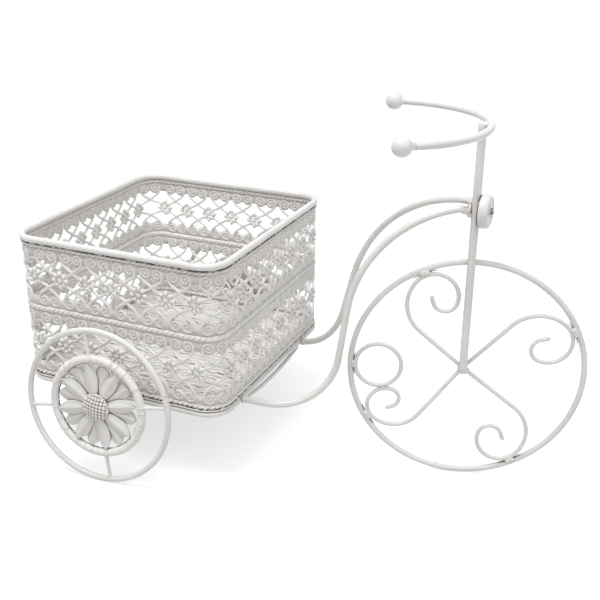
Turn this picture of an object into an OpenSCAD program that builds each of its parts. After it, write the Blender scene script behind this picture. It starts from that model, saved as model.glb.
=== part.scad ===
// Tricycle plant stand: a square openwork basket carried between two daisy wheels,
// with a large scroll-filled front wheel, a handlebar and a lamp. Sizes are millimetres.
// The origin lies on the ground under the middle of the stand, +X forward, +Y left, +Z up.

/* [Basket] */
// Length of the basket along X, between rod centres
basket_length = 232; // [180:1:300]
// Width of the basket along Y, between rod centres
basket_width = 254; // [180:1:320]
// Radius of the basket's upright corners
corner_radius = 24; // [16:1:36]
// Middle of the basket behind the origin
basket_back = 160; // [140:1:190]
// Diameter of the top rim tube
rim_rod = 7; // [5:0.5:9]
// Diameter of the base frame rod
base_rod = 6; // [4:0.5:8]
// Height of the upper lace strip
upper_strip = 70; // [50:1:100]
// Height of the lower lace strip
lower_strip = 76; // [50:1:100]
// Thickness of the lace sheet
lace_sheet = 2; // [1.2:0.1:3]
// Hearts along each wall
hearts = 7; // [4:1:9]
// Height of the rope border on each strip's outer edge
border_height = 4; // [3:0.5:8]
// Thickness of the rope borders
border_depth = 3.4; // [2.4:0.2:4.4]
// Outer radius of one scroll in a heart
heart_scroll = 5.5; // [4:0.1:5.8]
// Width of the lace's wires
lace_wire = 1.8; // [1.2:0.1:2.4]
// Radius of a lace flower
lace_flower = 7; // [5:0.1:8]
// Height of the spacer blocks under the lace
lace_lift = 3; // [2:0.5:6]
// Thickness of the floor plate
floor_sheet = 1.5; // [1:0.1:3]
// Diameter of the wire under the lace
edge_wire = 1.5; // [1:0.1:2]
// Diameter of the two bars under the floor plate
floor_bar = 5; // [4:0.5:6]
// Distance from the basket's middle to each floor bar
floor_bar_side = 60; // [40:1:80]

/* [Frame rods] */
// Diameter of the two rods that join the basket to the front post
frame_rod = 7; // [5:0.5:8]
// Distance from the middle plane to the right rod's foot
right_foot = 82; // [50:1:95]
// Lower bend radius of the right rod
right_low_bend = 62; // [50:1:72]
// Upper bend radius of the right rod
right_high_bend = 123; // [105:1:130]
// Slope at which the right rod leaves the base frame
right_leave = -10; // [-14:0.5:-2]
// Slope of the right rod's climb
right_climb = 82; // [78:0.5:86]
// Slope at which the right rod reaches the head
right_arrive = 9; // [5:0.5:15]
// Distance from the middle plane to the left rod's foot
left_foot = 68; // [50:1:95]
// Lower bend radius of the left rod
left_low_bend = 82; // [60:1:88]
// Upper bend radius of the left rod
left_high_bend = 156; // [130:1:162]
// Slope at which the left rod leaves the base frame
left_leave = 15; // [8:0.5:18]
// Slope of the left rod's climb
left_climb = 74; // [71:0.5:78]
// Slope at which the left rod reaches the head
left_arrive = 4; // [1:0.5:9]
// Diameter of the bowed stay under the front rod
bow_rod = 4; // [3:0.5:5]
// Drop of the bowed stay at its middle
bow_drop = 5; // [3:1:12]

/* [Front assembly] */
// Distance from the origin forward to the post
post_forward = 165; // [150:1:185]
// Distance of the post to the right of the middle plane
post_side = 7.5; // [0:0.5:12]
// Diameter of the post
post_rod = 8; // [7:0.5:10]
// Height of the handlebar tube's centre
handlebar_height = 365; // [340:1:400]
// Angle of the front assembly to the left of straight ahead
steer_angle = 16.7; // [0:0.1:17]
// Largest steering angle to either side
steer_limit = 18; // [10:1:20]
// Radius of the front wheel to its rod's centre
front_wheel = 115; // [100:1:130]
// Diameter of the front wheel's rod
front_rod = 6; // [4:0.5:8]
// Distance of the front wheel's centre ahead of the post
wheel_ahead = 3.2; // [0:0.1:6]
// Height of the hub, where the scrolls and the post meet, above the wheel's centre
hub_rise = 3.4; // [0:0.1:6]
// Diameter of the scroll wires
scroll_wire = 4; // [3:0.5:5]
// Radius of a scroll's shoulder
scroll_shoulder = 37; // [32:1:42]
// Radius of a scroll's curl
scroll_curl = 23; // [18:1:26]
// Radius of a scroll's inner hook
scroll_hook = 12; // [8:0.5:13]
// Size of the lower rear scroll beside the other three
small_scroll = 0.85; // [0.75:0.01:0.95]
// Radius of the small ring to its wire's centre
small_ring = 23; // [18:1:26]
// Thickness of the weld tabs between scrolls and wheel
tab_sheet = 1.2; // [0.8:0.1:2.4]
// Length of the weld tabs
tab_length = 7; // [4:0.5:10]
// Diameter of the handlebar tube
handlebar_rod = 7; // [5:0.5:9]
// Bend radius of the handlebar
handlebar_bend = 96; // [80:1:110]
// Half of the handlebar's bend angle
handlebar_half = 76; // [60:1:85]
// Turn of the handlebar on the post, against the wheel's direction
handlebar_turn = -5; // [-10:0.5:10]
// Angle from the post to the middle of the handlebar's bend
handlebar_shift = 8.4; // [0:0.1:15]
// Diameter of the handlebar's end balls
ball = 18; // [14:0.5:22]
// Diameter of the collar between the tube and a ball
ball_collar = 8.5; // [8:0.1:11]
// Length of that collar
ball_collar_length = 3; // [2:0.5:5]

/* [Lamp] */
// Diameter of the lamp disc
lamp_width = 32; // [26:0.5:40]
// Thickness of the lamp disc
lamp_depth = 9.4; // [7:0.2:12]
// Height of the lamp's centre
lamp_height = 286.5; // [270:0.5:300]
// Rounding of the lamp's edges
lamp_edge = 1.8; // [0.8:0.1:2.5]
// Diameter of the clamping screw
screw_shank = 4; // [3:0.1:4.2]
// Diameter of the screw head
screw_head = 8; // [7:0.1:10]
// Height of the screw head
screw_head_height = 2.4; // [2:0.1:3]
// Rounding of the screw head
screw_edge = 1; // [0.4:0.1:1.4]
// Length of the screw's cross slots
slot_length = 5; // [4:0.1:6]
// Width of the screw's cross slots
slot_width = 1.2; // [0.8:0.1:1.6]
// Depth of the screw's cross slots
slot_depth = 1.3; // [0.8:0.1:1.8]
// Diameter of the threaded barrel behind the post
barrel_width = 10; // [9:0.5:12]
// Length of the threaded barrel
barrel_length = 8; // [6:0.5:12]

/* [Rear wheels] */
// Radius of a rear wheel to its rod's centre
rear_wheel = 79.5; // [70:0.5:90]
// Diameter of the rear wheel's rod
rear_rod = 6; // [5:0.5:8]
// Radius of the wrapped ring to its centre
wrapped_ring = 50; // [46:1:56]
// Thickness of the wrapped ring
wrapped_rod = 8; // [6:0.5:9]
// Diameter of the spokes
spoke_rod = 3.6; // [3:0.1:5]
// Angle of the spokes from upright
spoke_turn = 9.5; // [0:0.5:45]
// Distance of the rear wheels behind the basket's middle
wheel_back = 6; // [0:1:20]
// Length of a stub axle from the base frame to the wheel
axle_length = 29; // [24:1:40]
// Diameter of a stub axle
axle_rod = 6; // [4:0.5:8]
// Lean of a rear wheel, its foot outward
camber = 5; // [0:0.5:8]
// Turn of a rear wheel, its front edge inward
toe = 2.3; // [0:0.1:5]
// Petals in each of the two layers
petals = 8; // [6:1:10]
// Width of a petal
petal_width = 15.5; // [12:0.5:18]
// Thickness of a petal
petal_sheet = 1.2; // [0.8:0.1:1.6]
// Slope of each half petal down from its ridge
petal_crease = 14; // [5:1:20]
// Radius of the daisy's beaded middle
seed_radius = 14; // [11:0.5:15]
// Height of the daisy's beaded middle
seed_height = 7; // [5:0.5:9]

/* [Fits] */
// Gap left at welded joints
weld_gap = 0.1; // [0.05:0.01:0.2]
// Radial clearance of a turning or sliding fit
fit_gap = 0.06; // [0.02:0.01:0.1]
// Gap between faces that pass each other
face_gap = 0.3; // [0.2:0.05:0.5]

/* [Hidden] */
$fn = 48;

paint = "#efebe4";
screw_steel = "#4b4643";

// How far a cutting shape runs past the face it cuts
past = 1;

// Rear wheel places, from the axle's root on the base frame outward
wheel_rise = axle_length * sin(camber);
base_height = rear_wheel * cos(camber) + rear_rod / 2 - wheel_rise;
root_out = basket_width / 2 + base_rod / 2 + axle_rod / 2 * sin(toe) + weld_gap;
base_top = base_height + base_rod / 2;

// Lace heights
lace_bottom = base_top + lace_lift;
lace_middle = lace_bottom + lower_strip;
lace_top = lace_middle + upper_strip;
rim_height = lace_top + rim_rod / 2 + weld_gap;
middle_border = 2 * border_height - 2;
upper_bottom = lace_middle + middle_border / 2 + weld_gap / 2;
upper_open = upper_strip - border_height - middle_border / 2 - weld_gap;
lower_bottom = lace_bottom + border_height + weld_gap / 2;
lower_open = lower_strip - border_height - middle_border / 2 - weld_gap;
block_width = 4;
spacers_a_side = 4;
floor_bottom = base_height + floor_bar / 2 + weld_gap / 2;

// Windows of a corner's lace: places round the bend and up the strip
window = 8;
window_turns = [22, 45, 68];
window_rows = [0.2, 0.5, 0.8];

// Walls of the basket, by their turn about its middle
right_wall = 0;
front_wall = 90;
left_wall = 180;
rear_wall = 270;

// Head places, measured from the post's axis. The left rod lies on the barrel's upper side.
lamp_back = post_rod / 2 + face_gap + weld_gap;
barrel_front = post_rod / 2 + face_gap;
right_rod_side = -1;
left_rod_turn = 54;
left_rod_out = barrel_width / 2 + frame_rod / 2 + 2 * weld_gap;
base_front = -basket_back + basket_length / 2 + base_rod / 2;

// Front wheel places, in the steering frame
wheel_side = post_rod / 2 + front_rod / 2 + weld_gap;
scroll_side = post_rod / 2 + scroll_wire / 2 + weld_gap;
wheel_height = front_wheel + front_rod / 2;
ring_inside = front_wheel - front_rod / 2;
scroll_start = scroll_wire / 2 + weld_gap;
// The hub's place from the wheel's centre, in the wheel's plane
hub = [-wheel_ahead, hub_rise];
// Each scroll: slope of its straight and its size
scrolls = [[140, 1], [47.5, 1], [-37.5, 1], [234, small_scroll]];
shoulder_turn = 89;
curl_turn = 159;
hook_turn = 146;
hook_tail = 6;

// Rear wheel stack along the axle, outward from the wheel's plane
hub_inside = -13;
hub_outside = 1;
hub_width = 18;
axle_collar = 3;
cap_width = 10;
cap_height = 2;
cap_hole = cap_width + 2;
wrap_bands = 10;
wrap_share = 0.45;
band_swell = 0.25;

// The front petals clear the back ones, whose ridges rise between them
daisy_disc = 24;
disc_top = 0.7 * petal_sheet;
petal_root = 8.5;
petal_middle = (petal_root + wrapped_ring - wrapped_rod / 2) / 2;
petal_edge_turn = 180 / petals - atan(petal_width / 2 / petal_middle);
petal_edge_out = norm([petal_middle, petal_width / 2]) * sin(petal_edge_turn);
layer_step = petal_sheet / cos(petal_crease) + weld_gap
    + max(0, (petal_width / 2 - petal_edge_out) * tan(petal_crease));
back_petals = hub_outside + weld_gap / 2;
front_petals = back_petals + layer_step;
seed_base = front_petals + petal_sheet + weld_gap / 2;
seed_cavity = cap_width / 2 + 1;

// Rod paths. A step is ["line", length] or ["bend", radius, turn], left turns positive.
bend_facet = 8;
rod_sides = 12;

// Place and heading at the end of a step
function step_end(at, step) =
    step[0] == "line"
    ? [at[0] + step[1] * cos(at[2]), at[1] + step[1] * sin(at[2]), at[2]]
    : let (side = sign(step[2]), turned = at[2] + step[2])
        [
            at[0] + side * step[1] * (sin(turned) - sin(at[2])),
            at[1] - side * step[1] * (cos(turned) - cos(at[2])),
            turned
        ];

// The places along one step, without its first
function step_places(at, step) =
    step[0] == "line"
    ? [step_end(at, step)]
    : let (count = ceil(abs(step[2]) / bend_facet))
        [for (k = [1 : count]) step_end(at, ["bend", step[1], step[2] * k / count])];

function path_places(at, steps, i = 0) =
    i == len(steps)
    ? []
    : concat(step_places(at, steps[i]), path_places(step_end(at, steps[i]), steps, i + 1));

// A round rod swept along its steps in the XY plane
module bent_rod(width, steps) {
    places = concat([[0, 0, 0]], path_places([0, 0, 0], steps));
    radius = width / 2 / sqrt(cos(180 / rod_sides));
    last = len(places) - 1;
    points = [
        for (p = places, k = [0 : rod_sides - 1])
            let (out = radius * cos(k * 360 / rod_sides))
            [p[0] - out * sin(p[2]), p[1] + out * cos(p[2]), radius * sin(k * 360 / rod_sides)]
    ];
    sides = [
        for (j = [0 : last - 1], k = [0 : rod_sides - 1])
            let (next = (k + 1) % rod_sides, here = j * rod_sides, ahead = here + rod_sides)
            each [[here + k, ahead + k, here + next], [ahead + k, ahead + next, here + next]]
    ];
    ends = [
        [for (k = [0 : rod_sides - 1]) k],
        [for (k = [rod_sides - 1 : -1 : 0]) last * rod_sides + k]
    ];
    polyhedron(points, concat(sides, ends));
}

module ring(radius, width) {
    rotate_extrude()
        translate([radius, 0])
            circle(d = width);
}

// Closed rod loop round the basket, grown outward by a given amount
module rod_loop(width, grow = 0) {
    long_side = basket_length - 2 * corner_radius;
    wide_side = basket_width - 2 * corner_radius;
    bend = corner_radius + grow;
    translate([-basket_back, 0, 0])
        for (turn = [0, 180])
            rotate([0, 0, turn]) {
                translate([0, -wide_side / 2 - bend, 0])
                    rotate([0, 90, 0])
                        cylinder(d = width, h = long_side, center = true);
                translate([long_side / 2 + bend, 0, 0])
                    rotate([90, 0, 0])
                        cylinder(d = width, h = wide_side, center = true);
                for (corner = [-1, 1])
                    translate([long_side / 2, corner * wide_side / 2, 0])
                        rotate([0, 0, corner > 0 ? 0 : -90])
                            rotate_extrude(angle = 90)
                                translate([bend, 0])
                                    circle(d = width);
            }
}

// Flat outline of the basket, grown outward by a given amount
module basket_outline(grow) {
    length = basket_length + 2 * grow;
    width = basket_width + 2 * grow;
    radius = corner_radius + grow;
    square([length - 2 * radius, width], center = true);
    square([length, width - 2 * radius], center = true);
    for (x = [-1, 1], y = [-1, 1])
        translate([x * (length / 2 - radius), y * (width / 2 - radius)])
            circle(r = radius);
}

module border(bottom, height) {
    translate([-basket_back, 0, bottom])
        linear_extrude(height)
            difference() {
                basket_outline(border_depth / 2);
                basket_outline(-border_depth / 2);
            }
}

// One wire of the lace between two points
module lace_bar(start, finish) {
    run = finish - start;
    translate(start)
        rotate([0, 0, atan2(run[1], run[0])])
            translate([0, -lace_wire / 2])
                square([norm(run), lace_wire]);
}

module lace_scroll() {
    difference() {
        circle(r = heart_scroll);
        circle(r = heart_scroll - lace_wire);
    }
}

// Openwork of one strip: hearts above and below, flowers between them
module lace_pattern(length, height) {
    unit = length / hearts;
    scroll_x = unit / 4;
    scroll_y = height / 2 - heart_scroll + lace_wire / 4;
    for (side = [-1, 1]) {
        translate([0, side > 0 ? height / 2 - lace_wire : -height / 2])
            square([length, lace_wire]);
        for (i = [0 : hearts - 1])
            translate([(i + 0.5) * unit, 0])
                for (hand = [-1, 1]) {
                    translate([hand * scroll_x, side * scroll_y])
                        lace_scroll();
                    lace_bar(
                        [hand * (scroll_x + heart_scroll - lace_wire), side * (scroll_y - lace_wire)],
                        [-hand * unit / 2, 0]
                    );
                }
    }
    for (i = [1 : hearts - 1])
        translate([i * unit, 0])
            circle(r = lace_flower);
    for (x = [0, length - lace_wire])
        translate([x, -height / 2])
            square([lace_wire, height]);
}

// One strip of one wall
module lace_wall(bottom, height, wall) {
    sideways = wall == right_wall || wall == left_wall;
    length = (sideways ? basket_length : basket_width) - 2 * corner_radius - weld_gap;
    out = (sideways ? basket_width : basket_length) / 2;
    translate([-basket_back, 0, bottom + height / 2])
        rotate([0, 0, wall])
            translate([-length / 2, -out + lace_sheet / 2, 0])
                rotate([90, 0, 0])
                    linear_extrude(lace_sheet)
                        intersection() {
                            lace_pattern(length, height);
                            translate([0, -height / 2])
                                square([length, height]);
                        }
}

module upper_lace(wall) color(paint) lace_wall(upper_bottom, upper_open, wall);
module lower_lace(wall) color(paint) lace_wall(lower_bottom, lower_open, wall);

// Curved lace between two walls, both strips, with round windows in rows
module lace_corner(x, y) {
    start = x > 0 ? (y > 0 ? 0 : 270) : (y > 0 ? 90 : 180);
    translate([
        -basket_back + x * (basket_length / 2 - corner_radius),
        y * (basket_width / 2 - corner_radius),
        0
    ])
        for (strip = [[upper_bottom, upper_open], [lower_bottom, lower_open]])
            difference() {
                translate([0, 0, strip[0]])
                    rotate([0, 0, start])
                        rotate_extrude(angle = 90)
                            translate([corner_radius - lace_sheet / 2, 0])
                                square([lace_sheet, strip[1]]);
                for (turn = window_turns, row = window_rows)
                    translate([0, 0, strip[0] + row * strip[1]])
                        rotate([0, 0, start + turn])
                            translate([corner_radius / 2, 0, 0])
                                rotate([0, 90, 0])
                                    cylinder(d = window, h = corner_radius);
            }
}

module base_frame_rod() {
    translate([0, 0, base_height])
        rod_loop(base_rod);
}

// Blocks that hold the lace off the base frame
module spacer_row() {
    for (i = [0 : spacers_a_side - 1], side = [-1, 1]) {
        share = (i + 0.5) / spacers_a_side - 0.5;
        translate([
            -basket_back + share * (basket_length - 2 * corner_radius) - block_width / 2,
            side * basket_width / 2 - lace_sheet / 2,
            base_top + weld_gap / 2
        ])
            cube([block_width, lace_sheet, lace_lift - weld_gap]);
        translate([
            -basket_back + side * basket_length / 2 - lace_sheet / 2,
            share * (basket_width - 2 * corner_radius) - block_width / 2,
            base_top + weld_gap / 2
        ])
            cube([lace_sheet, block_width, lace_lift - weld_gap]);
    }
}

// The floor rests on two bars that span the base frame
module floor_sheet_plate() {
    translate([-basket_back, 0, floor_bottom])
        linear_extrude(floor_sheet)
            basket_outline(-base_rod / 2 - weld_gap);
}

module cross_bars() {
    span = basket_width - base_rod - 2 * weld_gap;
    for (side = [-1, 1])
        translate([-basket_back + side * floor_bar_side, 0, base_height])
            rotate([90, 0, 0])
                cylinder(d = floor_bar, h = span, center = true);
}

// Bowed stay under the front rod, an arc through its two ends, beside the frame rods' feet,
// and its lowest point
module bow() {
    half = (left_foot + right_foot) / 2 - frame_rod;
    radius = (half * half + bow_drop * bow_drop) / (2 * bow_drop);
    half_angle = asin(half / radius);
    ends_below = base_rod / 2 + bow_rod / 2 + weld_gap;
    translate([
        -basket_back + basket_length / 2,
        (left_foot - right_foot) / 2,
        base_height - ends_below - bow_drop + radius
    ])
        rotate([90, 0, 90])
            rotate([0, 0, 270 - half_angle])
                rotate_extrude(angle = 2 * half_angle)
                    translate([radius, 0])
                        circle(d = bow_rod);
}

// A frame rod lies in one upright plane: a low bend up, a climb and a high bend forward.
// Its two straights are as long as they must be to end at its seat on the head. Both end
// faces are slanted, so each stands back by the room that its rim needs.
module climbing_rod(foot_y, seat, leave, climb, arrive, low_bend, high_bend) {
    slant = atan2(abs(seat[1] - foot_y), seat[0] - base_front);
    foot_room = frame_rod / 2 * sin(slant) + weld_gap;
    seat_room = frame_rod / 2 * sqrt(1 - pow(cos(arrive) * cos(slant), 2)) + weld_gap;
    foot = [base_front + foot_room, foot_y, base_height];
    ahead = seat[0] - seat_room - foot[0];
    across = seat[1] - foot[1];
    run = norm([ahead, across]);
    rise = seat[2] - foot[2];
    bends_run = low_bend * (sin(climb) - sin(leave)) + high_bend * (sin(climb) - sin(arrive));
    bends_rise = low_bend * (cos(leave) - cos(climb)) + high_bend * (cos(arrive) - cos(climb));
    left_run = run - bends_run;
    left_rise = rise - bends_rise;
    first = (left_run * sin(climb) - left_rise * cos(climb)) / sin(climb - leave);
    second = (left_rise * cos(leave) - left_run * sin(leave)) / sin(climb - leave);
    translate(foot)
        rotate([90, 0, atan2(across, ahead)])
            rotate([0, 0, leave])
                bent_rod(frame_rod, [
                    ["line", first], ["bend", low_bend, climb - leave],
                    ["line", second], ["bend", high_bend, arrive - climb]
                ]);
}

module right_frame_rod() {
    seat = [
        post_forward - barrel_front - barrel_length,
        right_rod_side - post_side,
        lamp_height
    ];
    climbing_rod(
        -right_foot, seat, right_leave, right_climb, right_arrive, right_low_bend, right_high_bend
    );
}

module left_frame_rod() {
    seat = [
        post_forward - barrel_front,
        left_rod_out * cos(left_rod_turn) - post_side,
        lamp_height + left_rod_out * sin(left_rod_turn)
    ];
    climbing_rod(
        left_foot, seat, left_leave, left_climb, left_arrive, left_low_bend, left_high_bend
    );
}

// Threaded barrel between the frame rods and the post
module barrel() {
    translate([post_forward - barrel_front - barrel_length, -post_side, lamp_height])
        rotate([0, 90, 0])
            difference() {
                cylinder(d = barrel_width, h = barrel_length);
                translate([0, 0, -past])
                    cylinder(d = screw_shank + 2 * fit_gap, h = barrel_length + 2 * past);
            }
}

module rounded_disc(width, depth, edge) {
    rotate_extrude() {
        square([width / 2 - edge, depth]);
        square([width / 2, depth - edge]);
        translate([width / 2 - edge, depth - edge])
            circle(r = edge);
    }
}

module lamp() {
    translate([post_forward + lamp_back, -post_side, lamp_height])
        rotate([0, 90, 0])
            difference() {
                rounded_disc(lamp_width, lamp_depth, lamp_edge);
                translate([0, 0, -past])
                    cylinder(d = screw_shank + 2 * fit_gap, h = lamp_depth + 2 * past);
            }
}

// Cross-slotted screw through the lamp and the post into the barrel
module clamp_screw() {
    reach = lamp_depth + lamp_back + barrel_front + barrel_length;
    translate([post_forward + lamp_back + lamp_depth, -post_side, lamp_height])
        rotate([0, 90, 0])
            difference() {
                union() {
                    rounded_disc(screw_head, screw_head_height, screw_edge);
                    translate([0, 0, -reach])
                        cylinder(d = screw_shank, h = reach);
                }
                for (turn = [0, 90])
                    translate([0, 0, screw_head_height - slot_depth])
                        rotate([0, 0, turn])
                            translate([-slot_length / 2, -slot_width / 2, 0])
                                cube([slot_length, slot_width, slot_depth + past]);
            }
}

// Everything that steers is drawn about the post's axis and then turned
module steered() {
    translate([post_forward, -post_side, 0])
        rotate([0, 0, steer_angle])
            children();
}

// Slot that lets the post turn on the screw: the screw's width at every steering angle
module steer_slot() {
    tall = screw_shank + 2 * face_gap;
    translate([0, 0, lamp_height - tall / 2])
        linear_extrude(tall)
            for (turn = [-steer_limit, 0, steer_limit])
                rotate(turn)
                    square([2 * post_rod, tall], center = true);
}

module steering_post() {
    steered()
        difference() {
            translate([0, 0, wheel_height])
                cylinder(d = post_rod, h = handlebar_height - wheel_height + handlebar_rod / 2);
            steer_slot();
        }
}

// The front wheel's upright plane, seen from the right, about the wheel's centre
module wheel_plane(side) {
    steered()
        translate([wheel_ahead, side, wheel_height])
            rotate([90, 0, 0])
                children();
}

// A scroll leaves the hub straight, bends over its shoulder into its curl, which touches
// its tab on the wheel, and ends in its hook
function heading(angle) = [cos(angle), sin(angle)];
function curl_reach(size) = ring_inside - tab_sheet - scroll_wire / 2 - size * scroll_curl;

// From the end of the straight to the middle of the curl
function curl_offset(angle, size) =
    size * scroll_shoulder * heading(angle - 90)
    + size * (scroll_shoulder - scroll_curl) * heading(angle + 90 - shoulder_turn);

function straight_length(angle, size) =
    let (start = hub + curl_offset(angle, size), ahead = start * heading(angle))
        sqrt(pow(curl_reach(size), 2) - start * start + ahead * ahead) - ahead;

// Middle of a scroll's curl from the wheel's centre
function curl_middle(angle, size) =
    hub + straight_length(angle, size) * heading(angle) + curl_offset(angle, size);

function slope(place) = atan2(place[1], place[0]);

module scroll(i) {
    angle = scrolls[i][0];
    size = scrolls[i][1];
    wheel_plane(scroll_side)
        translate(hub)
            rotate([0, 0, angle])
                translate([scroll_start, 0, 0])
                    bent_rod(scroll_wire, [
                        ["line", straight_length(angle, size) - scroll_start],
                        ["bend", size * scroll_shoulder, -shoulder_turn],
                        ["bend", size * scroll_curl, -curl_turn],
                        ["bend", size * scroll_hook, -hook_turn],
                        ["line", size * hook_tail]
                    ]);
}

module tabs() {
    for (scroll = scrolls)
        wheel_plane(wheel_side)
            rotate([0, 0, slope(curl_middle(scroll[0], scroll[1]))])
                translate([ring_inside - tab_sheet / 2, 0, 0])
                    cube([tab_sheet - 2 * weld_gap, tab_length, scroll_wire], center = true);
}

// The small ring touches the wheel and the curl of the lower rear scroll
module held_ring() {
    out = ring_inside - weld_gap - scroll_wire / 2 - small_ring;
    curl = curl_middle(scrolls[3][0], scrolls[3][1]);
    curl_out = norm(curl);
    apart = scrolls[3][1] * scroll_curl + small_ring + scroll_wire + 2 * weld_gap;
    between = acos((out * out + curl_out * curl_out - apart * apart) / (2 * out * curl_out));
    wheel_plane(scroll_side)
        translate(out * heading(slope(curl) - between))
            ring(small_ring, scroll_wire);
}

// The handlebar bends round a point behind the post and passes in front of it
module round_handlebar_bend() {
    steered()
        rotate([0, 0, handlebar_turn])
            translate([post_rod / 2 + handlebar_rod / 2 + weld_gap - handlebar_bend, 0, handlebar_height])
                rotate([0, 0, handlebar_shift])
                    children();
}

module bar() {
    round_handlebar_bend()
        rotate([0, 0, -handlebar_half])
            rotate_extrude(angle = 2 * handlebar_half)
                translate([handlebar_bend, 0])
                    circle(d = handlebar_rod);
}

// End ball with its short collar, which meets the tube's end
module end_ball(side) {
    seat = sqrt(ball * ball - ball_collar * ball_collar) / 2;
    round_handlebar_bend()
        rotate([0, 0, side * handlebar_half])
            translate([handlebar_bend, side * (weld_gap + ball_collar_length + seat), 0]) {
                sphere(d = ball);
                rotate([side * 90, 0, 0])
                    cylinder(d = ball_collar, h = ball_collar_length + seat);
            }
}

// Rear wheel frame: its Z axis points outward along the stub axle
module at_wheel(side) {
    translate([-basket_back - wheel_back, side * root_out, base_height])
        mirror([0, side > 0 ? 1 : 0, 0])
            rotate([90 - camber, 0, 0])
                rotate([0, toe, 0])
                    translate([0, 0, axle_length])
                        children();
}

module stub_axle(side) {
    at_wheel(side) {
        translate([0, 0, -axle_length])
            cylinder(d = axle_rod, h = axle_length + hub_outside + face_gap + cap_height);
        translate([0, 0, hub_inside - face_gap - axle_collar])
            cylinder(d = cap_width, h = axle_collar);
    }
}

// Tube that turns on, or is pressed over, the stub axle
module axle_sleeve(side, bottom, height, width) {
    at_wheel(side)
        translate([0, 0, bottom])
            difference() {
                cylinder(d = width, h = height);
                translate([0, 0, -past])
                    cylinder(d = axle_rod + 2 * fit_gap, h = height + 2 * past);
            }
}

module axle_end_cap(side) axle_sleeve(side, hub_outside + face_gap, cap_height, cap_width);

module hub_tube(side) axle_sleeve(side, hub_inside, hub_outside - hub_inside, hub_width);

module outer_ring(side) {
    at_wheel(side)
        ring(rear_wheel, rear_rod);
}

module wheel_spokes(side) {
    inner = wrapped_ring + wrapped_rod / 2 + band_swell + weld_gap;
    outer = rear_wheel - rear_rod / 2 - weld_gap;
    at_wheel(side)
        for (i = [0 : 3])
            rotate([0, 90, i * 90 + spoke_turn])
                translate([0, 0, inner])
                    cylinder(d = spoke_rod, h = outer - inner);
}

module wrapped_ring_bands(side) {
    band = 360 / wrap_bands;
    at_wheel(side) {
        ring(wrapped_ring, wrapped_rod);
        for (i = [0 : wrap_bands - 1])
            rotate([0, 0, i * band])
                rotate_extrude(angle = band * wrap_share)
                    translate([wrapped_ring, 0])
                        circle(d = wrapped_rod + 2 * band_swell);
    }
}

// Where the tip of a petal at some height meets the wrapped ring
function petal_tip(height) =
    wrapped_ring - sqrt(pow(wrapped_rod / 2 + band_swell + weld_gap, 2) - height * height);

// A lens-shaped petal along +X, its halves sloping down from the ridge between them
module petal(tip) {
    half_length = (tip - petal_root) / 2;
    half_width = petal_width / 2;
    radius = (half_length * half_length + half_width * half_width) / (2 * half_width);
    shared = petal_sheet / 2 * tan(petal_crease);
    blunt = petal_sheet / 3;
    for (side = [0, 1])
        mirror([0, side, 0])
            rotate([-petal_crease, 0, 0])
                linear_extrude(petal_sheet)
                    intersection() {
                        translate([petal_root + half_length, -(radius - half_width)])
                            circle(r = radius);
                        translate([petal_root + blunt, -shared])
                            square([2 * (half_length - blunt), half_width + shared]);
                    }
}

// A layer of petals on a disc that reaches down to what carries it
module petal_layer(side, height, turn, seat) {
    at_wheel(side)
        difference() {
            union() {
                for (i = [0 : petals - 1])
                    rotate([0, 0, turn + i * 360 / petals])
                        translate([0, 0, height])
                            petal(petal_tip(height));
                translate([0, 0, seat])
                    cylinder(d = daisy_disc, h = height + disc_top - seat);
            }
            translate([0, 0, hub_outside - hub_width])
                cylinder(d = cap_hole, h = 2 * hub_width);
        }
}

module back_layer(side)
    color(paint)
        petal_layer(side, back_petals, 180 / petals, back_petals);

module front_layer(side)
    color(paint)
        petal_layer(side, front_petals, 0, back_petals + petal_sheet + weld_gap / 2);

module seed_dome(side) {
    radius = (seed_radius * seed_radius + seed_height * seed_height) / (2 * seed_height);
    at_wheel(side)
        translate([0, 0, seed_base])
            difference() {
                intersection() {
                    translate([0, 0, seed_height - radius])
                        sphere(r = radius);
                    cylinder(r = seed_radius, h = seed_height);
                }
                translate([0, 0, -past])
                    cylinder(r = seed_cavity, h = past + seed_height / 3);
            }
}

module basket_rim() color(paint) translate([0, 0, rim_height]) rod_loop(rim_rod);
module border_top() color(paint) border(lace_top - border_height, border_height);
module border_middle() color(paint) border(lace_middle - middle_border / 2, middle_border);
module border_bottom() color(paint) border(lace_bottom, border_height);
module lace_upper_front() upper_lace(front_wall);
module lace_upper_rear() upper_lace(rear_wall);
module lace_upper_left() upper_lace(left_wall);
module lace_upper_right() upper_lace(right_wall);
module lace_lower_front() lower_lace(front_wall);
module lace_lower_rear() lower_lace(rear_wall);
module lace_lower_left() lower_lace(left_wall);
module lace_lower_right() lower_lace(right_wall);
module corner_front_left() color(paint) lace_corner(1, 1);
module corner_front_right() color(paint) lace_corner(1, -1);
module corner_rear_left() color(paint) lace_corner(-1, 1);
module corner_rear_right() color(paint) lace_corner(-1, -1);
module base_frame() color(paint) base_frame_rod();
module lace_spacers() color(paint) spacer_row();
module under_wire()
    color(paint)
        translate([0, 0, base_top + lace_lift / 2])
            rod_loop(edge_wire, lace_sheet / 2 + edge_wire / 2 + weld_gap);
module floor_plate() color(paint) floor_sheet_plate();
module floor_bars() color(paint) cross_bars();
module front_bow() color(paint) bow();
module frame_rod_left() color(paint) left_frame_rod();
module frame_rod_right() color(paint) right_frame_rod();
module head_barrel() color(paint) barrel();
module lamp_disc() color(paint) lamp();
module lamp_screw() color(screw_steel) clamp_screw();
module axle_left() color(paint) stub_axle(1);
module axle_right() color(paint) stub_axle(-1);
module axle_cap_left() color(screw_steel) axle_end_cap(1);
module axle_cap_right() color(screw_steel) axle_end_cap(-1);
module post() color(paint) steering_post();
module front_ring() color(paint) wheel_plane(wheel_side) ring(front_wheel, front_rod);
module scroll_upper_rear() color(paint) scroll(0);
module scroll_upper_front() color(paint) scroll(1);
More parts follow.
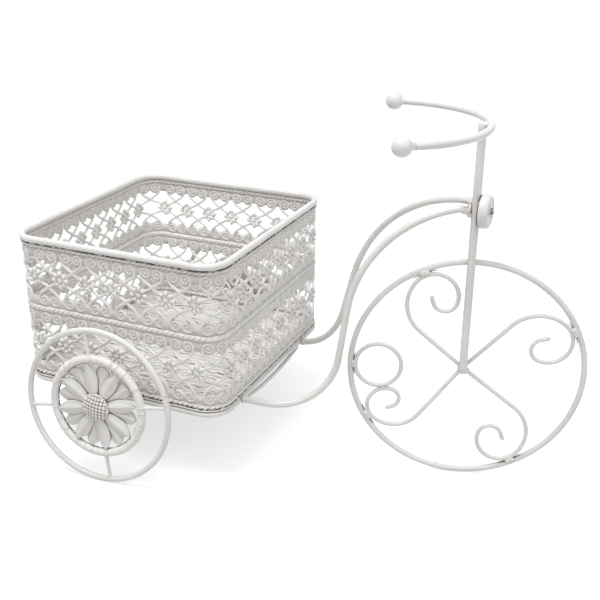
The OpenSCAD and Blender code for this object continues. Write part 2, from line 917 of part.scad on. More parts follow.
module scroll_lower_front() color(paint) scroll(2);
module scroll_lower_rear() color(paint) scroll(3);
module small_ring_wire() color(paint) held_ring();
module scroll_tabs() color(paint) tabs();
module handlebar() color(paint) bar();
module ball_left() color(paint) end_ball(1);
module ball_right() color(paint) end_ball(-1);
module wheel_ring_left() color(paint) outer_ring(1);
module wheel_spokes_left() color(paint) wheel_spokes(1);
module wrapped_ring_left() color(paint) wrapped_ring_bands(1);
module petals_front_left() front_layer(1);
module petals_back_left() back_layer(1);
module seeds_left() color(paint) seed_dome(1);
module hub_left() color(paint) hub_tube(1);
module wheel_ring_right() color(paint) outer_ring(-1);
module wheel_spokes_right() color(paint) wheel_spokes(-1);
module wrapped_ring_right() color(paint) wrapped_ring_bands(-1);
module petals_front_right() front_layer(-1);
module petals_back_right() back_layer(-1);
module seeds_right() color(paint) seed_dome(-1);
module hub_right() color(paint) hub_tube(-1);

basket_rim();
border_top();
border_middle();
border_bottom();
lace_upper_front();
lace_upper_rear();
lace_upper_left();
lace_upper_right();
lace_lower_front();
lace_lower_rear();
lace_lower_left();
lace_lower_right();
corner_front_left();
corner_front_right();
corner_rear_left();
corner_rear_right();
base_frame();
lace_spacers();
under_wire();
floor_plate();
floor_bars();
front_bow();
frame_rod_left();
frame_rod_right();
head_barrel();
lamp_disc();
lamp_screw();
axle_left();
axle_right();
axle_cap_left();
axle_cap_right();
post();
front_ring();
scroll_upper_rear();
scroll_upper_front();
scroll_lower_front();
scroll_lower_rear();
small_ring_wire();
scroll_tabs();
handlebar();
ball_left();
ball_right();
wheel_ring_left();
wheel_spokes_left();
wrapped_ring_left();
petals_front_left();
petals_back_left();
seeds_left();
hub_left();
wheel_ring_right();
wheel_spokes_right();
wrapped_ring_right();
petals_front_right();
petals_back_right();
seeds_right();
hub_right();
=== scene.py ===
import bmesh
import bpy
import random
import numpy as np
from math import acos, asin, atan2, copysign, cos, degrees, hypot, pi, radians, sin, sqrt, tan
from mathutils import Matrix, Vector, noise


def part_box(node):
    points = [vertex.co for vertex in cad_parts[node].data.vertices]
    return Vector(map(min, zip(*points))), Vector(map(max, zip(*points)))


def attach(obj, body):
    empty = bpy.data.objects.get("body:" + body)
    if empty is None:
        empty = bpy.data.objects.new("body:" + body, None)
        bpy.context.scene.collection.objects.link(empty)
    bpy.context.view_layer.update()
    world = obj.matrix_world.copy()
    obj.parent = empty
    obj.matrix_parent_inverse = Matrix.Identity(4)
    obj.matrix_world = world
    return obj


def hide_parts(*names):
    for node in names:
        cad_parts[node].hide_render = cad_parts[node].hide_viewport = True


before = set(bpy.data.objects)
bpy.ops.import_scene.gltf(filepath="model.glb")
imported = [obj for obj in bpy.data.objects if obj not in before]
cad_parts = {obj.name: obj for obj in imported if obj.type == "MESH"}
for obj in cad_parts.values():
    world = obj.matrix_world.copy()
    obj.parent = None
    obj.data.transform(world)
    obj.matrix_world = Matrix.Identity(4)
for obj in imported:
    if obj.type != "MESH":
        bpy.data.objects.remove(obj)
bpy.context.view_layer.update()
random.seed(7)
mm = 0.001
print("frame loaded")


# Mesh helpers. A part is a pair: its points in millimetres, and its faces.

def joinParts(parts):
    points, faces, base = [], [], 0
    for partPoints, partFaces in parts:
        points.append(np.asarray(partPoints, float))
        faces.extend([tuple(base + k for k in face) for face in partFaces])
        base += len(partPoints)
    return np.vstack(points), faces


def addObject(name, data):
    added = bpy.data.objects.new(name, data)
    bpy.context.scene.collection.objects.link(added)
    return added


def smoothShaded(mesh):
    mesh.polygons.foreach_set("use_smooth", [True] * len(mesh.polygons))


def makePiece(name, part, body, material, standsFor=()):
    points, faces = part
    mesh = bpy.data.meshes.new(name)
    mesh.from_pydata((np.asarray(points) * mm).tolist(), [], faces)
    shell = bmesh.new()
    shell.from_mesh(mesh)
    bmesh.ops.recalc_face_normals(shell, faces=shell.faces)
    shell.to_mesh(mesh)
    shell.free()
    smoothShaded(mesh)
    mesh.materials.append(material)
    piece = addObject(name, mesh)
    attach(piece, body)
    if standsFor:
        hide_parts(*standsFor)


def gridFaces(rows, columns, closedRows=False, closedColumns=True):
    faces = []
    for i in range(rows if closedRows else rows - 1):
        nextRow = (i + 1) % rows
        for j in range(columns if closedColumns else columns - 1):
            nextColumn = (j + 1) % columns
            faces.append((i * columns + j, i * columns + nextColumn,
                          nextRow * columns + nextColumn, nextRow * columns + j))
    return faces


def cappedGrid(rows, columns):  # closed round its columns, with a face at each end
    last = (rows - 1) * columns
    ends = [tuple(reversed(range(columns))), tuple(range(last, last + columns))]
    return gridFaces(rows, columns) + ends


def closedSheet(top, under, rows, columns):  # two grids of points, joined round their edge
    count = rows * columns
    faces = gridFaces(rows, columns, closedColumns=False)
    faces += [tuple(count + k for k in face) for face in faces]
    rim = ([k for k in range(columns)] + [i * columns + columns - 1 for i in range(1, rows)]
           + [(rows - 1) * columns + k for k in range(columns - 2, -1, -1)]
           + [i * columns for i in range(rows - 2, 0, -1)])
    for a, b in zip(rim, rim[1:] + rim[:1]):
        faces.append((a, b, count + b, count + a))
    return np.array(top + under), faces


def unit(v):
    v = np.asarray(v, float)
    return v / np.maximum(np.linalg.norm(v, axis=-1, keepdims=True), 1e-9)


endTurns = (25, 50, 72, 88)  # where the rings of a rod's rounded end stand, in degrees
straightUp, leftward = (0, 0, 1), (0, 1, 0)
almostUp = 0.1  # sine of the slant below which a path counts as upright


def roundedEnds(path, radius):  # adds half a ball to each end of a rod
    turns = np.radians(endTurns)
    first, last = unit(path[0] - path[1]), unit(path[-1] - path[-2])
    head = [path[0] + first * radius[0] * sin(a) for a in turns[::-1]]
    tail = [path[-1] + last * radius[-1] * sin(a) for a in turns]
    headRadius = [radius[0] * cos(a) for a in turns[::-1]]
    tailRadius = [radius[-1] * cos(a) for a in turns]
    return np.vstack([head, path, tail]), np.concatenate([headRadius, radius, tailRadius])


def tube(path, radius, sides, closed=False, up=None, rounded=True):
    path = np.asarray(path, float)
    radius = np.array(np.broadcast_to(radius, len(path)), float)
    if rounded and not closed:
        path, radius = roundedEnds(path, radius)
    if closed:
        along = unit(np.roll(path, -1, 0) - np.roll(path, 1, 0))
    else:
        along = unit(np.gradient(path, axis=0))
    if up is None:
        start = np.cross(along[0], straightUp)
        if np.linalg.norm(start) < almostUp:
            start = np.cross(along[0], leftward)
        side = np.zeros_like(path)
        side[0] = unit(start)
        for i in range(1, len(path)):
            side[i] = unit(side[i - 1] - along[i] * np.dot(side[i - 1], along[i]))
    else:
        side = unit(np.cross(np.broadcast_to(up, path.shape), along))
    top = np.cross(along, side)
    turn = np.linspace(0, 2 * pi, sides, endpoint=False)
    ring = (np.cos(turn)[None, :, None] * side[:, None, :]
            + np.sin(turn)[None, :, None] * top[:, None, :])
    points = path[:, None, :] + radius[:, None, None] * ring
    faces = gridFaces(len(path), sides, closedRows=True) if closed else cappedGrid(len(path), sides)
    return points.reshape(-1, 3), faces


def softNoise(*place):
    return noise.noise(Vector(place))


swellScale = 0.07


def uneven(path, radius, amount, seed):  # soft swells of a dipped coat of paint
    return np.array([
        radius * (1 + amount * softNoise(x * swellScale + seed, y * swellScale, z * swellScale))
        for x, y, z in path])


def lathe(profile, segments):  # turns (radius, height) pairs round Z; a radius of 0 closes an end
    points, faces, rows = [], [], []
    for radius, height in profile:
        turns = [2 * pi * j / segments for j in range(segments if radius else 1)]
        rows.append([len(points) + j for j in range(len(turns))])
        points += [(radius * cos(turn), radius * sin(turn), height) for turn in turns]
    for below, above in zip(rows, rows[1:]):
        for j in range(segments):
            k = (j + 1) % segments
            if len(below) == 1:
                faces.append((below[0], above[j], above[k]))
            elif len(above) == 1:
                faces.append((below[j], above[0], below[k]))
            else:
                faces.append((below[j], above[j], above[k], below[k]))
    return np.array(points), faces


def ball(centre, radii, rings=5, segments=8):
    tilts = [pi * i / rings for i in range(1, rings)]
    points, faces = lathe([(0, 1), *((sin(tilt), cos(tilt)) for tilt in tilts), (0, -1)], segments)
    return points * radii + centre, faces


def moved(points, matrix):
    points = np.asarray(points, float)
    return (np.c_[points, np.ones(len(points))] @ np.array(matrix).T)[:, :3]


def placed(part, matrix):
    points, faces = part
    return moved(points, matrix), faces


def turnAbout(axis, angle):
    return Matrix.Rotation(radians(angle), 4, axis)


def heading(angle):
    return np.array([cos(radians(angle)), sin(radians(angle))])


def circle(radius, count, centre=(0, 0)):
    turn = np.linspace(0, 2 * pi, count, endpoint=False)
    return np.stack([centre[0] + radius * np.cos(turn), centre[1] + radius * np.sin(turn)], 1)


def levelRing(radius, count, height=0.0):
    return np.c_[circle(radius, count), np.full(count, height)]


def bezier(start, startPull, endPull, end, count):
    t = np.linspace(0, 1, count)[:, None]
    start, startPull, endPull, end = (np.asarray(p, float) for p in (start, startPull, endPull, end))
    return ((1 - t) ** 3 * start + 3 * (1 - t) ** 2 * t * startPull
            + 3 * (1 - t) * t ** 2 * endPull + t ** 3 * end)


def turtle(start, steps, spacing):  # plane path of lines and bends; left turns are positive
    x, y, angle = 0.0, 0.0, radians(start)
    path = [(x, y)]
    for step in steps:
        if step[0] == "line":
            count = max(1, int(step[1] / spacing / 2))
            for _ in range(count):
                x += step[1] / count * cos(angle)
                y += step[1] / count * sin(angle)
                path.append((x, y))
        else:
            radius, turn = step[1], radians(step[2])
            sign = copysign(1, turn)
            count = max(3, int(radius * abs(turn) / spacing))
            for _ in range(count):
                after = angle + turn / count
                x += sign * radius * (sin(after) - sin(angle))
                y -= sign * radius * (cos(after) - cos(angle))
                angle = after
                path.append((x, y))
    return np.array(path)


lumpSwells = ((0.28, 1.3, (3.1, 0, 0)), (0.1, 3.7, (0, 1.7, 0)))  # size, fineness, shift by the seed


def weldLump(centre, size, seed, flat):  # a bead of weld under paint, never quite round
    points, faces = ball((0, 0, 0), (1, 1, 1), rings=9, segments=14)
    shaped = []
    for point in points:
        swell = 1
        for amount, fineness, shift in lumpSwells:
            swell += amount * softNoise(*(point * fineness + np.array(shift) * seed))
        shaped.append(point * swell * size * np.asarray(flat))
    return np.array(shaped) + centre, faces


# Materials

def setInputs(tree, node, inputs):  # an input takes a constant or another node's output
    for socket, value in inputs.items():
        if isinstance(value, bpy.types.NodeSocket):
            tree.links.new(value, node.inputs[socket])
        else:
            node.inputs[socket].default_value = value
    return node


def addNode(tree, kind, inputs):
    return setInputs(tree, tree.nodes.new(kind), inputs)


def emptyTree(owner):
    owner.use_nodes = True
    owner.node_tree.nodes.clear()
    return owner.node_tree


def nodeMaterial(name):
    material = bpy.data.materials.new(name)
    tree = emptyTree(material)
    shader = tree.nodes.new("ShaderNodeBsdfPrincipled")
    addNode(tree, "ShaderNodeOutputMaterial", {"Surface": shader.outputs["BSDF"]})
    return material, tree, shader, tree.nodes.new("ShaderNodeTexCoord").outputs["Object"]


def mathNode(tree, operation, first, second, clamp=False):
    node = addNode(tree, "ShaderNodeMath", {0: first, 1: second})
    node.operation = operation
    node.use_clamp = clamp
    return node.outputs[0]


mixSockets = {"share": 0, "first": 6, "second": 7, "result": 2}  # of a mix node set to colours


def mixColour(tree, share, first, second):
    node = tree.nodes.new("ShaderNodeMix")
    node.data_type = "RGBA"
    first, second = ((*tone, 1.0) if isinstance(tone, tuple) else tone for tone in (first, second))
    setInputs(tree, node, {mixSockets["share"]: share, mixSockets["first"]: first,
                           mixSockets["second"]: second})
    return node.outputs[mixSockets["result"]]


def noiseNode(tree, place, scale, detail=2.0):
    node = addNode(tree, "ShaderNodeTexNoise", {"Vector": place, "Scale": scale, "Detail": detail})
    return node.outputs["Fac"]


def spread(tree, value, low, high, outLow=0.0, outHigh=1.0):  # maps low..high onto outLow..outHigh
    node = addNode(tree, "ShaderNodeMapRange", {"Value": value, "From Min": low, "From Max": high,
                                                "To Min": outLow, "To Max": outHigh})
    return node.outputs["Result"]


def crevice(tree, depth, low, high):  # 1 deep in a recess, 0 on an open surface
    node = addNode(tree, "ShaderNodeAmbientOcclusion", {"Distance": depth})
    node.samples = 8
    return mathNode(tree, "SUBTRACT", 1.0, spread(tree, node.outputs["AO"], low, high), clamp=True)


def stained(tree, colour, mask, share, stain):
    return mixColour(tree, mathNode(tree, "MULTIPLY", mask, share), colour, stain)


def paintMaterial(name, look):  # sprayed paint: cloudy tone, painted shade and grime in recesses, pinholes, orange peel
    material, tree, shader, place = nodeMaterial(name)
    cloud = spread(tree, noiseNode(tree, place, look["cloudScale"], 3.0), *look["cloudRange"])
    colour = mixColour(tree, cloud, look["shade"], look["light"])
    # darkening in the recesses, where other surfaces are near: painted shade, with some grime
    shadedRecess = crevice(tree, look["recessDepth"], *look["recessRange"])
    colour = stained(tree, colour, shadedRecess, look["shadeAndGrimeShare"], look["shadeAndGrime"])
    gap = crevice(tree, look["gapDepth"], *look["gapRange"])  # at the welds, where no paint reached
    colour = stained(tree, colour, gap, look["gapShare"], look["bare"])
    if "paintedGrooveShade" in look:  # painted shade along the bottom of the pressed grooves
        level = addNode(tree, "ShaderNodeSeparateXYZ", {0: place}).outputs["Z"]
        outsideGrooveShade = mathNode(tree, "ADD", spread(tree, level, *look["grooveHeights"]), 0.0, clamp=True)
        colour = mixColour(tree, outsideGrooveShade, look["paintedGrooveShade"], colour)
    cells = addNode(tree, "ShaderNodeTexVoronoi", {"Vector": place, "Scale": look["pinholeScale"]})
    dots = mathNode(tree, "LESS_THAN", cells.outputs["Distance"], look["pinholeSize"])
    patches = mathNode(tree, "GREATER_THAN", noiseNode(tree, place, look["pinholePatch"]),
                       look["patchAbove"])
    pinhole = mathNode(tree, "MULTIPLY", dots, patches)
    colour = stained(tree, colour, pinhole, look["pinholeShare"], look["bare"])
    dull = spread(tree, noiseNode(tree, place, look["cloudScale"] * look["dullFiner"]), 0, 1,
                  *look["roughness"])
    fine = noiseNode(tree, place, look["peelScale"])
    wide = noiseNode(tree, place, look["peelScale"] * look["wideScale"])
    height = mathNode(tree, "ADD", mathNode(tree, "MULTIPLY", wide, look["wideHeight"]), fine)
    height = mathNode(tree, "SUBTRACT", height,
                      mathNode(tree, "MULTIPLY", pinhole, look["pinholeDepth"]))
    bump = addNode(tree, "ShaderNodeBump", {"Strength": look["peelStrength"],
                                            "Distance": look["peelHeight"], "Height": height})
    setInputs(tree, shader, {"Base Color": colour, "Roughness": dull, "Normal": bump.outputs["Normal"],
                             "Coat Weight": look["coat"], "Coat Roughness": look["coatRoughness"]})
    return material


rodPaintLook = {
    "light": (0.88, 0.872, 0.86), "shade": (0.80, 0.787, 0.77), "cloudScale": 22,
    "cloudRange": (0.35, 0.65),
    "shadeAndGrime": (0.34, 0.29, 0.25), "shadeAndGrimeShare": 0.5, "recessDepth": 0.006, "recessRange": (0.15, 0.8),
    "bare": (0.035, 0.028, 0.024), "gapShare": 0.9, "gapDepth": 0.001, "gapRange": (0.12, 0.4),
    "pinholeScale": 130, "pinholeSize": 0.085, "pinholePatch": 60, "patchAbove": 0.56,
    "pinholeShare": 0.75, "pinholeDepth": 1.5,
    "roughness": (0.28, 0.42), "dullFiner": 4, "coat": 0.35, "coatRoughness": 0.3,
    "peelScale": 520, "peelStrength": 0.35, "peelHeight": 0.0004, "wideScale": 0.22, "wideHeight": 1.6,
}
lacePaintLook = dict(
    rodPaintLook, light=(0.92, 0.908, 0.895), shade=(0.86, 0.845, 0.83), shadeAndGrime=(0.22, 0.175, 0.145),
    shadeAndGrimeShare=0.75, recessDepth=0.0022, recessRange=(0.12, 0.62), gapDepth=0.0009, gapShare=0.55,
    pinholeSize=0.05, roughness=(0.39, 0.53), coat=0.12)
# a darker copy of the lace paint for the ground sheets between the wires: painted shade
shadedGroundLook = dict(
    rodPaintLook, light=(0.85, 0.836, 0.82), shade=(0.77, 0.753, 0.735), cloudScale=70,
    roughness=(0.44, 0.58), coat=0.0, shadeAndGrimeShare=0.7, recessDepth=0.002, recessRange=(0.2, 0.8))
petalPaintLook = dict(
    rodPaintLook, light=(0.85, 0.84, 0.827), shade=(0.79, 0.777, 0.76), shadeAndGrime=(0.30, 0.25, 0.21),
    shadeAndGrimeShare=0.85, recessDepth=0.0035, recessRange=(0.2, 0.8), pinholeSize=0.04,
    roughness=(0.36, 0.50), coat=0.15, peelStrength=0.25)
floorPaintLook = dict(
    rodPaintLook, light=(0.80, 0.786, 0.77), shade=(0.68, 0.664, 0.645), cloudScale=60,
    shadeAndGrime=(0.12, 0.105, 0.09), shadeAndGrimeShare=0.6, recessDepth=0.003, recessRange=(0.3, 0.8),
    paintedGrooveShade=(0.10, 0.088, 0.078), grooveHeights=(0.0829, 0.0838), gapShare=0.6,
    roughness=(0.44, 0.58), coat=0.0, peelStrength=0.5)
seedPaintLook = dict(
    lacePaintLook, light=(0.90, 0.89, 0.88), shade=(0.84, 0.828, 0.812), shadeAndGrime=(0.36, 0.32, 0.29),
    shadeAndGrimeShare=0.45, recessRange=(0.1, 0.6))
rodPaint = paintMaterial("rodPaint", rodPaintLook)
seedPaint = paintMaterial("seedPaint", seedPaintLook)
floorPaint = paintMaterial("floorPaint", floorPaintLook)
lacePaint = paintMaterial("lacePaint", lacePaintLook)
shadedGroundPaint = paintMaterial("shadedGroundPaint", shadedGroundLook)
petalPaint = paintMaterial("petalPaint", petalPaintLook)


def patchyMaterial(name, look):  # one tone showing in patches through another
    material, tree, shader, place = nodeMaterial(name)
    patch = spread(tree, noiseNode(tree, place, look["scale"], 3.0), *look["range"])
    if "dullScale" in look:
        dull = spread(tree, noiseNode(tree, place, look["dullScale"]), *look["dullRange"])
    else:
        dull = look["roughness"]
    setInputs(tree, shader, {"Base Color": mixColour(tree, patch, look["ground"], look["patch"]),
                             "Roughness": dull, "Metallic": look["metallic"]})
    return material


# near black with brown patches: bare iron, and painted shade in the crevices where it lies
bareIronAndShadeLook = {"ground": (0.028, 0.024, 0.022), "patch": (0.12, 0.09, 0.07), "scale": 300,
                "range": (0.4, 0.62), "roughness": 0.7, "metallic": 0.0}
# dark with patches of paint: broken paint along the seams, and painted shade in the gaps behind the lamp
# disc and inside the wrapped rings
shadeAndBrokenPaintLook = {"ground": (0.045, 0.036, 0.03), "patch": (0.66, 0.645, 0.63), "scale": 210,
                   "range": (0.5, 0.57), "roughness": 0.6, "metallic": 0.0}
# pale patches on the dark steel: paint caught on the screw, and painted glints
screwSteelLook = {"ground": (0.16, 0.155, 0.15), "patch": (0.78, 0.77, 0.76), "scale": 420,
                  "range": (0.5, 0.58), "dullScale": 900, "dullRange": (-0.4, 1.6), "metallic": 0.85}
bareIronAndShade = patchyMaterial("bareIronAndShade", bareIronAndShadeLook)
shadeAndBrokenPaint = patchyMaterial("shadeAndBrokenPaint", shadeAndBrokenPaintLook)
screwSteel = patchyMaterial("screwSteel", screwSteelLook)
print("materials made")


# Basket

basket = {
    "middle": -160, "length": 232, "width": 254, "corner": 24, "pathStep": 2.0, "swell": 0.035,
    "rimHeight": 235.27, "rimRod": 7, "baseHeight": 79.67, "baseRod": 6,
    "wireHeight": 84.17, "wireOut": 1.85, "edgeWire": 1.5,
}
longSide = basket["length"] - 2 * basket["corner"]
wideSide = basket["width"] - 2 * basket["corner"]
bend = basket["corner"] * pi / 2
loopParts = [
    ("right", longSide), ("frontRight", bend), ("front", wideSide), ("frontLeft", bend),
    ("left", longSide), ("rearLeft", bend), ("rear", wideSide), ("rearRight", bend),
]
loopStart, loopLength = {}, 0.0
for partName, partLength in loopParts:
    loopStart[partName] = loopLength
    loopLength += partLength


def aroundBasket(along, out):  # point on the basket's outline, moved outward
    along = np.mod(np.asarray(along, float), loopLength)
    starts, corner = np.array([*loopStart.values()]), basket["corner"]
    part = np.searchsorted(starts, along, side="right") - 1
    past, onBend = along - starts[part], part % 2 == 1
    turn = pi / 2 * (part // 2 - 1)
    halfSpan = np.where(part // 2 % 2 == 0, longSide, wideSide) / 2
    reach = (longSide + wideSide) / 2 - halfSpan
    step = np.where(onBend, halfSpan, past - halfSpan)
    angle = turn + np.where(onBend, past / corner, 0)
    x = reach * np.cos(turn) - step * np.sin(turn) + (corner + out) * np.cos(angle)
    y = reach * np.sin(turn) + step * np.cos(turn) + (corner + out) * np.sin(angle)
    return x + basket["middle"], y


def loopPath(height, out=0.0):
    along = np.linspace(0, loopLength, int(loopLength / basket["pathStep"]), endpoint=False)
    x, y = aroundBasket(along, out)
    return np.stack([x, y, np.full_like(x, height)], 1)


def wrapPart(part):  # bends a flat part, given along, out and up, round the basket
    points, faces = part
    x, y = aroundBasket(points[:, 0], points[:, 1])
    return np.stack([x, y, points[:, 2]], 1), faces


def rodPiece(name, node, body, path, width, swell, seed, sides=18, **shape):
    part = tube(path, uneven(path, width / 2, swell, seed), sides, **shape)
    makePiece(name, part, body, rodPaint, [node])


def rodLoop(name, node, height, width, out=0.0, sides=18):
    rodPiece(name, node, "base", loopPath(height, out), width, basket["swell"], height, sides,
             closed=True, up=straightUp)


rodLoop("basketRim", "basket_rim", basket["rimHeight"], basket["rimRod"])
rodLoop("baseFrame", "base_frame", basket["baseHeight"], basket["baseRod"])
rodLoop("underWire", "under_wire", basket["wireHeight"], basket["edgeWire"], basket["wireOut"], 8)


# Lace: each unit is a heart above and a heart below, with a flower between two units

lace = {
    "units": {"right": 6, "front": 7, "left": 6, "rear": 7}, "heart": 29.6,
    "scroll": 6.9, "scrollTurns": 1.6, "scrollPlace": 0.222, "scrollGap": 0.3, "scrollCore": 0.7,
    "scrollPower": 0.75, "centreBead": 1.6,
    "wire": 1.5, "innerWire": 1.0, "sideWire": 1.65, "thinWire": 1.4,
    "steps": (30, 12, 8),  # points along the scroll, the side and the tail
    "sidePull": (0.9, 0.55, 0.46),  # out, then down and back as shares of the side's drop
    "slope": (1.0, 0.9), "tailPull": 3.4,
    "crossingRise": 10.0, "crossingBead": (2.28, 0.85, 1.9),
    "flowerJoint": (5.0, 4.4), "flowerPull": (2.8, 1.6), "flowerReach": (7.0, 6.6),
    "flowerPetal": (3.2, 2.7, 2.6), "shortPetal": 0.92, "flowerSeed": (3.1, 2.3, 3.1),
    "webHalf": 0.25, "webCusp": 3.4, "webOverlap": 0.5, "columns": 56,
}
strips = {  # lowest and highest open height of each strip
    "upper": (164.72, 227.67),
    "lower": (89.72, 158.67),
}


def scrollCentre(pitch, height):
    return np.array([min(pitch, lace["heart"]) * lace["scrollPlace"],
                     height - lace["scroll"] - lace["scrollGap"]])


def lobeWire(pitch, height):  # one side of a heart: scroll, side curve, crossing, on to the flower
    centre, middle = scrollCentre(pitch, height), height / 2
    scrollSteps, sideSteps, tailSteps = lace["steps"]
    t = np.linspace(0, 1, scrollSteps)
    angle = 2 * pi * lace["scrollTurns"] * (1 - t)
    growth = lace["scroll"] - lace["wire"] - lace["scrollCore"]
    radius = lace["scrollCore"] + growth * t ** lace["scrollPower"]
    scroll = centre + radius[:, None] * np.stack([np.cos(angle), np.sin(angle)], 1)
    crossing = np.array([0.0, middle + lace["crossingRise"]])
    jointBefore, jointRise = lace["flowerJoint"]
    flower = np.array([jointBefore - pitch / 2, middle + jointRise])
    drop = scroll[-1][1] - crossing[1]
    pullOut, pullDown, pullBack = lace["sidePull"]
    slope = unit(lace["slope"])
    side = bezier(scroll[-1], scroll[-1] + (pullOut, -pullDown * drop),
                  crossing + slope * pullBack * drop, crossing, sideSteps)
    tail = bezier(crossing, crossing - slope * lace["tailPull"], flower + lace["flowerPull"], flower,
                  tailSteps)
    thick = np.concatenate([
        np.linspace(lace["innerWire"], lace["wire"], scrollSteps),
        np.linspace(lace["wire"], lace["sideWire"], sideSteps - 1),
        np.linspace(lace["sideWire"], lace["thinWire"], tailSteps - 1)])
    path = np.vstack([scroll, side[1:], tail[1:]])
    wire = tube(np.stack([path[:, 0], np.zeros(len(path)), path[:, 1]], 1), thick, 8, up=leftward)
    return joinParts([wire, ball((centre[0], 0, centre[1]), [lace["centreBead"]] * 3)])


def laceWeb(pitch, height):  # thin sheet that fills the ground between scrolls and border
    across = np.linspace(-pitch / 2, pitch / 2, lace["columns"])
    place, level = scrollCentre(pitch, height)
    reach, top, half = lace["scroll"] - lace["webOverlap"], height + lace["webOverlap"], lace["webHalf"]
    gap = np.abs(np.abs(across) - place)
    low = np.minimum(level - np.sqrt(np.maximum(reach ** 2 - gap ** 2, 0)), level - lace["webCusp"])
    points = []
    for s, z in zip(across, low):
        points.extend([(s, half, z), (s, half, top), (s, -half, top), (s, -half, z)])
    return np.array(points), cappedGrid(len(across), 4)


def laceFlower(s, z):  # a bead among eight petals, every second one shorter
    parts = [ball((s, 0, z), lace["flowerSeed"], 7, 12)]
    for k in range(8):
        turn, short = pi * k / 4, k % 2
        size = np.array(lace["flowerPetal"]) * (lace["shortPetal"] if short else 1)
        points, faces = ball((0, 0, 0), size, 7, 10)
        c, n = cos(turn), sin(turn)
        out = points[:, 0] + lace["flowerReach"][short]
        turned = np.stack([s + out * c - points[:, 2] * n, points[:, 1],
                           z + out * n + points[:, 2] * c], 1)
        parts.append((turned, faces))
    return joinParts(parts)


def laceUnit(pitch, height):
    lobe, lobeFaces = lobeWire(pitch, height)
    knot, knotFaces = ball((0, 0, height / 2 + lace["crossingRise"]), lace["crossingBead"])
    parts = []
    for upDown, lift in ((1, 0), (-1, height)):  # the lower heart is the upper one turned over
        parts.append((knot * (1, 1, upDown) + (0, 0, lift), knotFaces))
        for hand in (1, -1):
            parts.append((lobe * (hand, 1, upDown) + (0, 0, lift), lobeFaces))
    return joinParts(parts)


def lacePanel(start, span, count, strip, flowers):
    low, high = strips[strip]
    pitch = span / count
    points, faces = laceUnit(pitch, high - low)
    parts = [(points + (start + (i + 0.5) * pitch, 0, low), faces) for i in range(count)]
    parts += [laceFlower(start + i * pitch, (low + high) / 2) for i in flowers]
    return wrapPart(joinParts(parts))


def webLoop(strip):  # the ground sheets of one strip, all the way round
    low, high = strips[strip]
    parts = []
    for partName, partLength in loopParts:
        count = lace["units"].get(partName, 1)
        pitch = partLength / count
        web, faces = laceWeb(pitch, high - low)
        for i in range(count):
            place = (loopStart[partName] + (i + 0.5) * pitch, 0, 0)
            parts.append((web + place + (0, 0, low), faces))
            parts.append((web * (1, 1, -1) + place + (0, 0, high), faces))
    return wrapPart(joinParts(parts))


for partName, partLength in loopParts:
    start = loopStart[partName]
    label = partName[0].upper() + partName[1:]
    count = lace["units"].get(partName)  # the corners have none
    if count:
        for strip in strips:
            panel = lacePanel(start, partLength, count, strip, range(1, count))
            makePiece("lace" + strip.capitalize() + label, panel, "base", lacePaint,
                      ["lace_" + strip + "_" + partName])
    else:
        panels = [lacePanel(start, partLength, 1, strip, (0, 1)) for strip in strips]
        cornerNode = "corner_" + partName.replace("L", "_l").replace("R", "_r")
        makePiece("laceCorner" + label, joinParts(panels), "base", lacePaint, [cornerNode])
# the ground sheets take the darker paint, which paints their shade in
for strip in strips:
    makePiece("laceGround" + strip.capitalize(), webLoop(strip), "base", shadedGroundPaint)
print("lace made")


# Rope borders: a flat band with a twisted pair of strands and a line of small beads

borders = {
    "top": {"low": 227.67, "high": 231.67, "rope": 229.2, "beads": [226.4], "pitch": 11.4,
            "strand": 1.1, "throw": 1.25},
    "middle": {"low": 158.67, "high": 164.67, "rope": 161.67, "beads": [], "pitch": 11.6,
               "strand": 1.1, "throw": 1.25},
    "bottom": {"low": 83.7, "high": 89.67, "rope": 87.6, "beads": [90.4], "pitch": 11.4,
               "strand": 1.05, "throw": 1.2},
}
rope = {"bandHalf": 0.6, "bandStep": 3, "strandStep": 0.9, "plump": 0.1, "beadPitch": 2.3,
        "bead": (0.95, 1.2, 0.6)}


def bandLoop(low, high, half):
    along = np.linspace(0, loopLength, int(loopLength / rope["bandStep"]), endpoint=False)
    corners = [(half, low), (half, high), (-half, high), (-half, low)]
    columns = [np.stack([*aroundBasket(along, out), np.full_like(along, z)], 1) for out, z in corners]
    points = np.stack(columns, 1).reshape(-1, 3)
    return points, gridFaces(len(along), 4, closedRows=True)


def ropeLoop(border):
    turns = round(loopLength / border["pitch"])
    along = np.linspace(0, loopLength, int(loopLength / rope["strandStep"]), endpoint=False)
    strands = []
    for k in (0, 1):
        twist = 2 * pi * turns * along / loopLength + pi * k
        x, y = aroundBasket(along, border["throw"] * np.cos(twist))
        path = np.stack([x, y, border["rope"] + border["throw"] * np.sin(twist)], 1)
        plump = border["strand"] * (1 + rope["plump"] * np.cos(2 * twist))
        strands.append(tube(path, plump, 10, closed=True, up=straightUp))
    return joinParts(strands)


def beadLine(height):
    count = int(loopLength / rope["beadPitch"])
    template, faces = ball((0, 0, 0), rope["bead"], 4, 6)
    beads = [(template + (loopLength * k / count, 0, height), faces) for k in range(count)]
    return wrapPart(joinParts(beads))


for borderName, border in borders.items():
    parts = [bandLoop(border["low"], border["high"], rope["bandHalf"]), ropeLoop(border)]
    parts += [beadLine(height) for height in border["beads"]]
    makePiece(borderName + "Border", joinParts(parts), "base", lacePaint, ["border_" + borderName])

# seams under the rim and over the base frame, where the paint broke
seams = {"under_rim": {"height": 231.75, "out": 1.75, "thick": 0.75},
         "over_frame": {"height": 85.2, "out": 1.3, "thick": 0.7}}
for seamName, seam in seams.items():
    path = loopPath(seam["height"], seam["out"])
    makePiece("seam_" + seamName, tube(path, seam["thick"], 8, True, up=straightUp), "base", shadeAndBrokenPaint)
print("borders made")


# Floor of the basket: a sheet pressed into uneven ribs that run along the basket

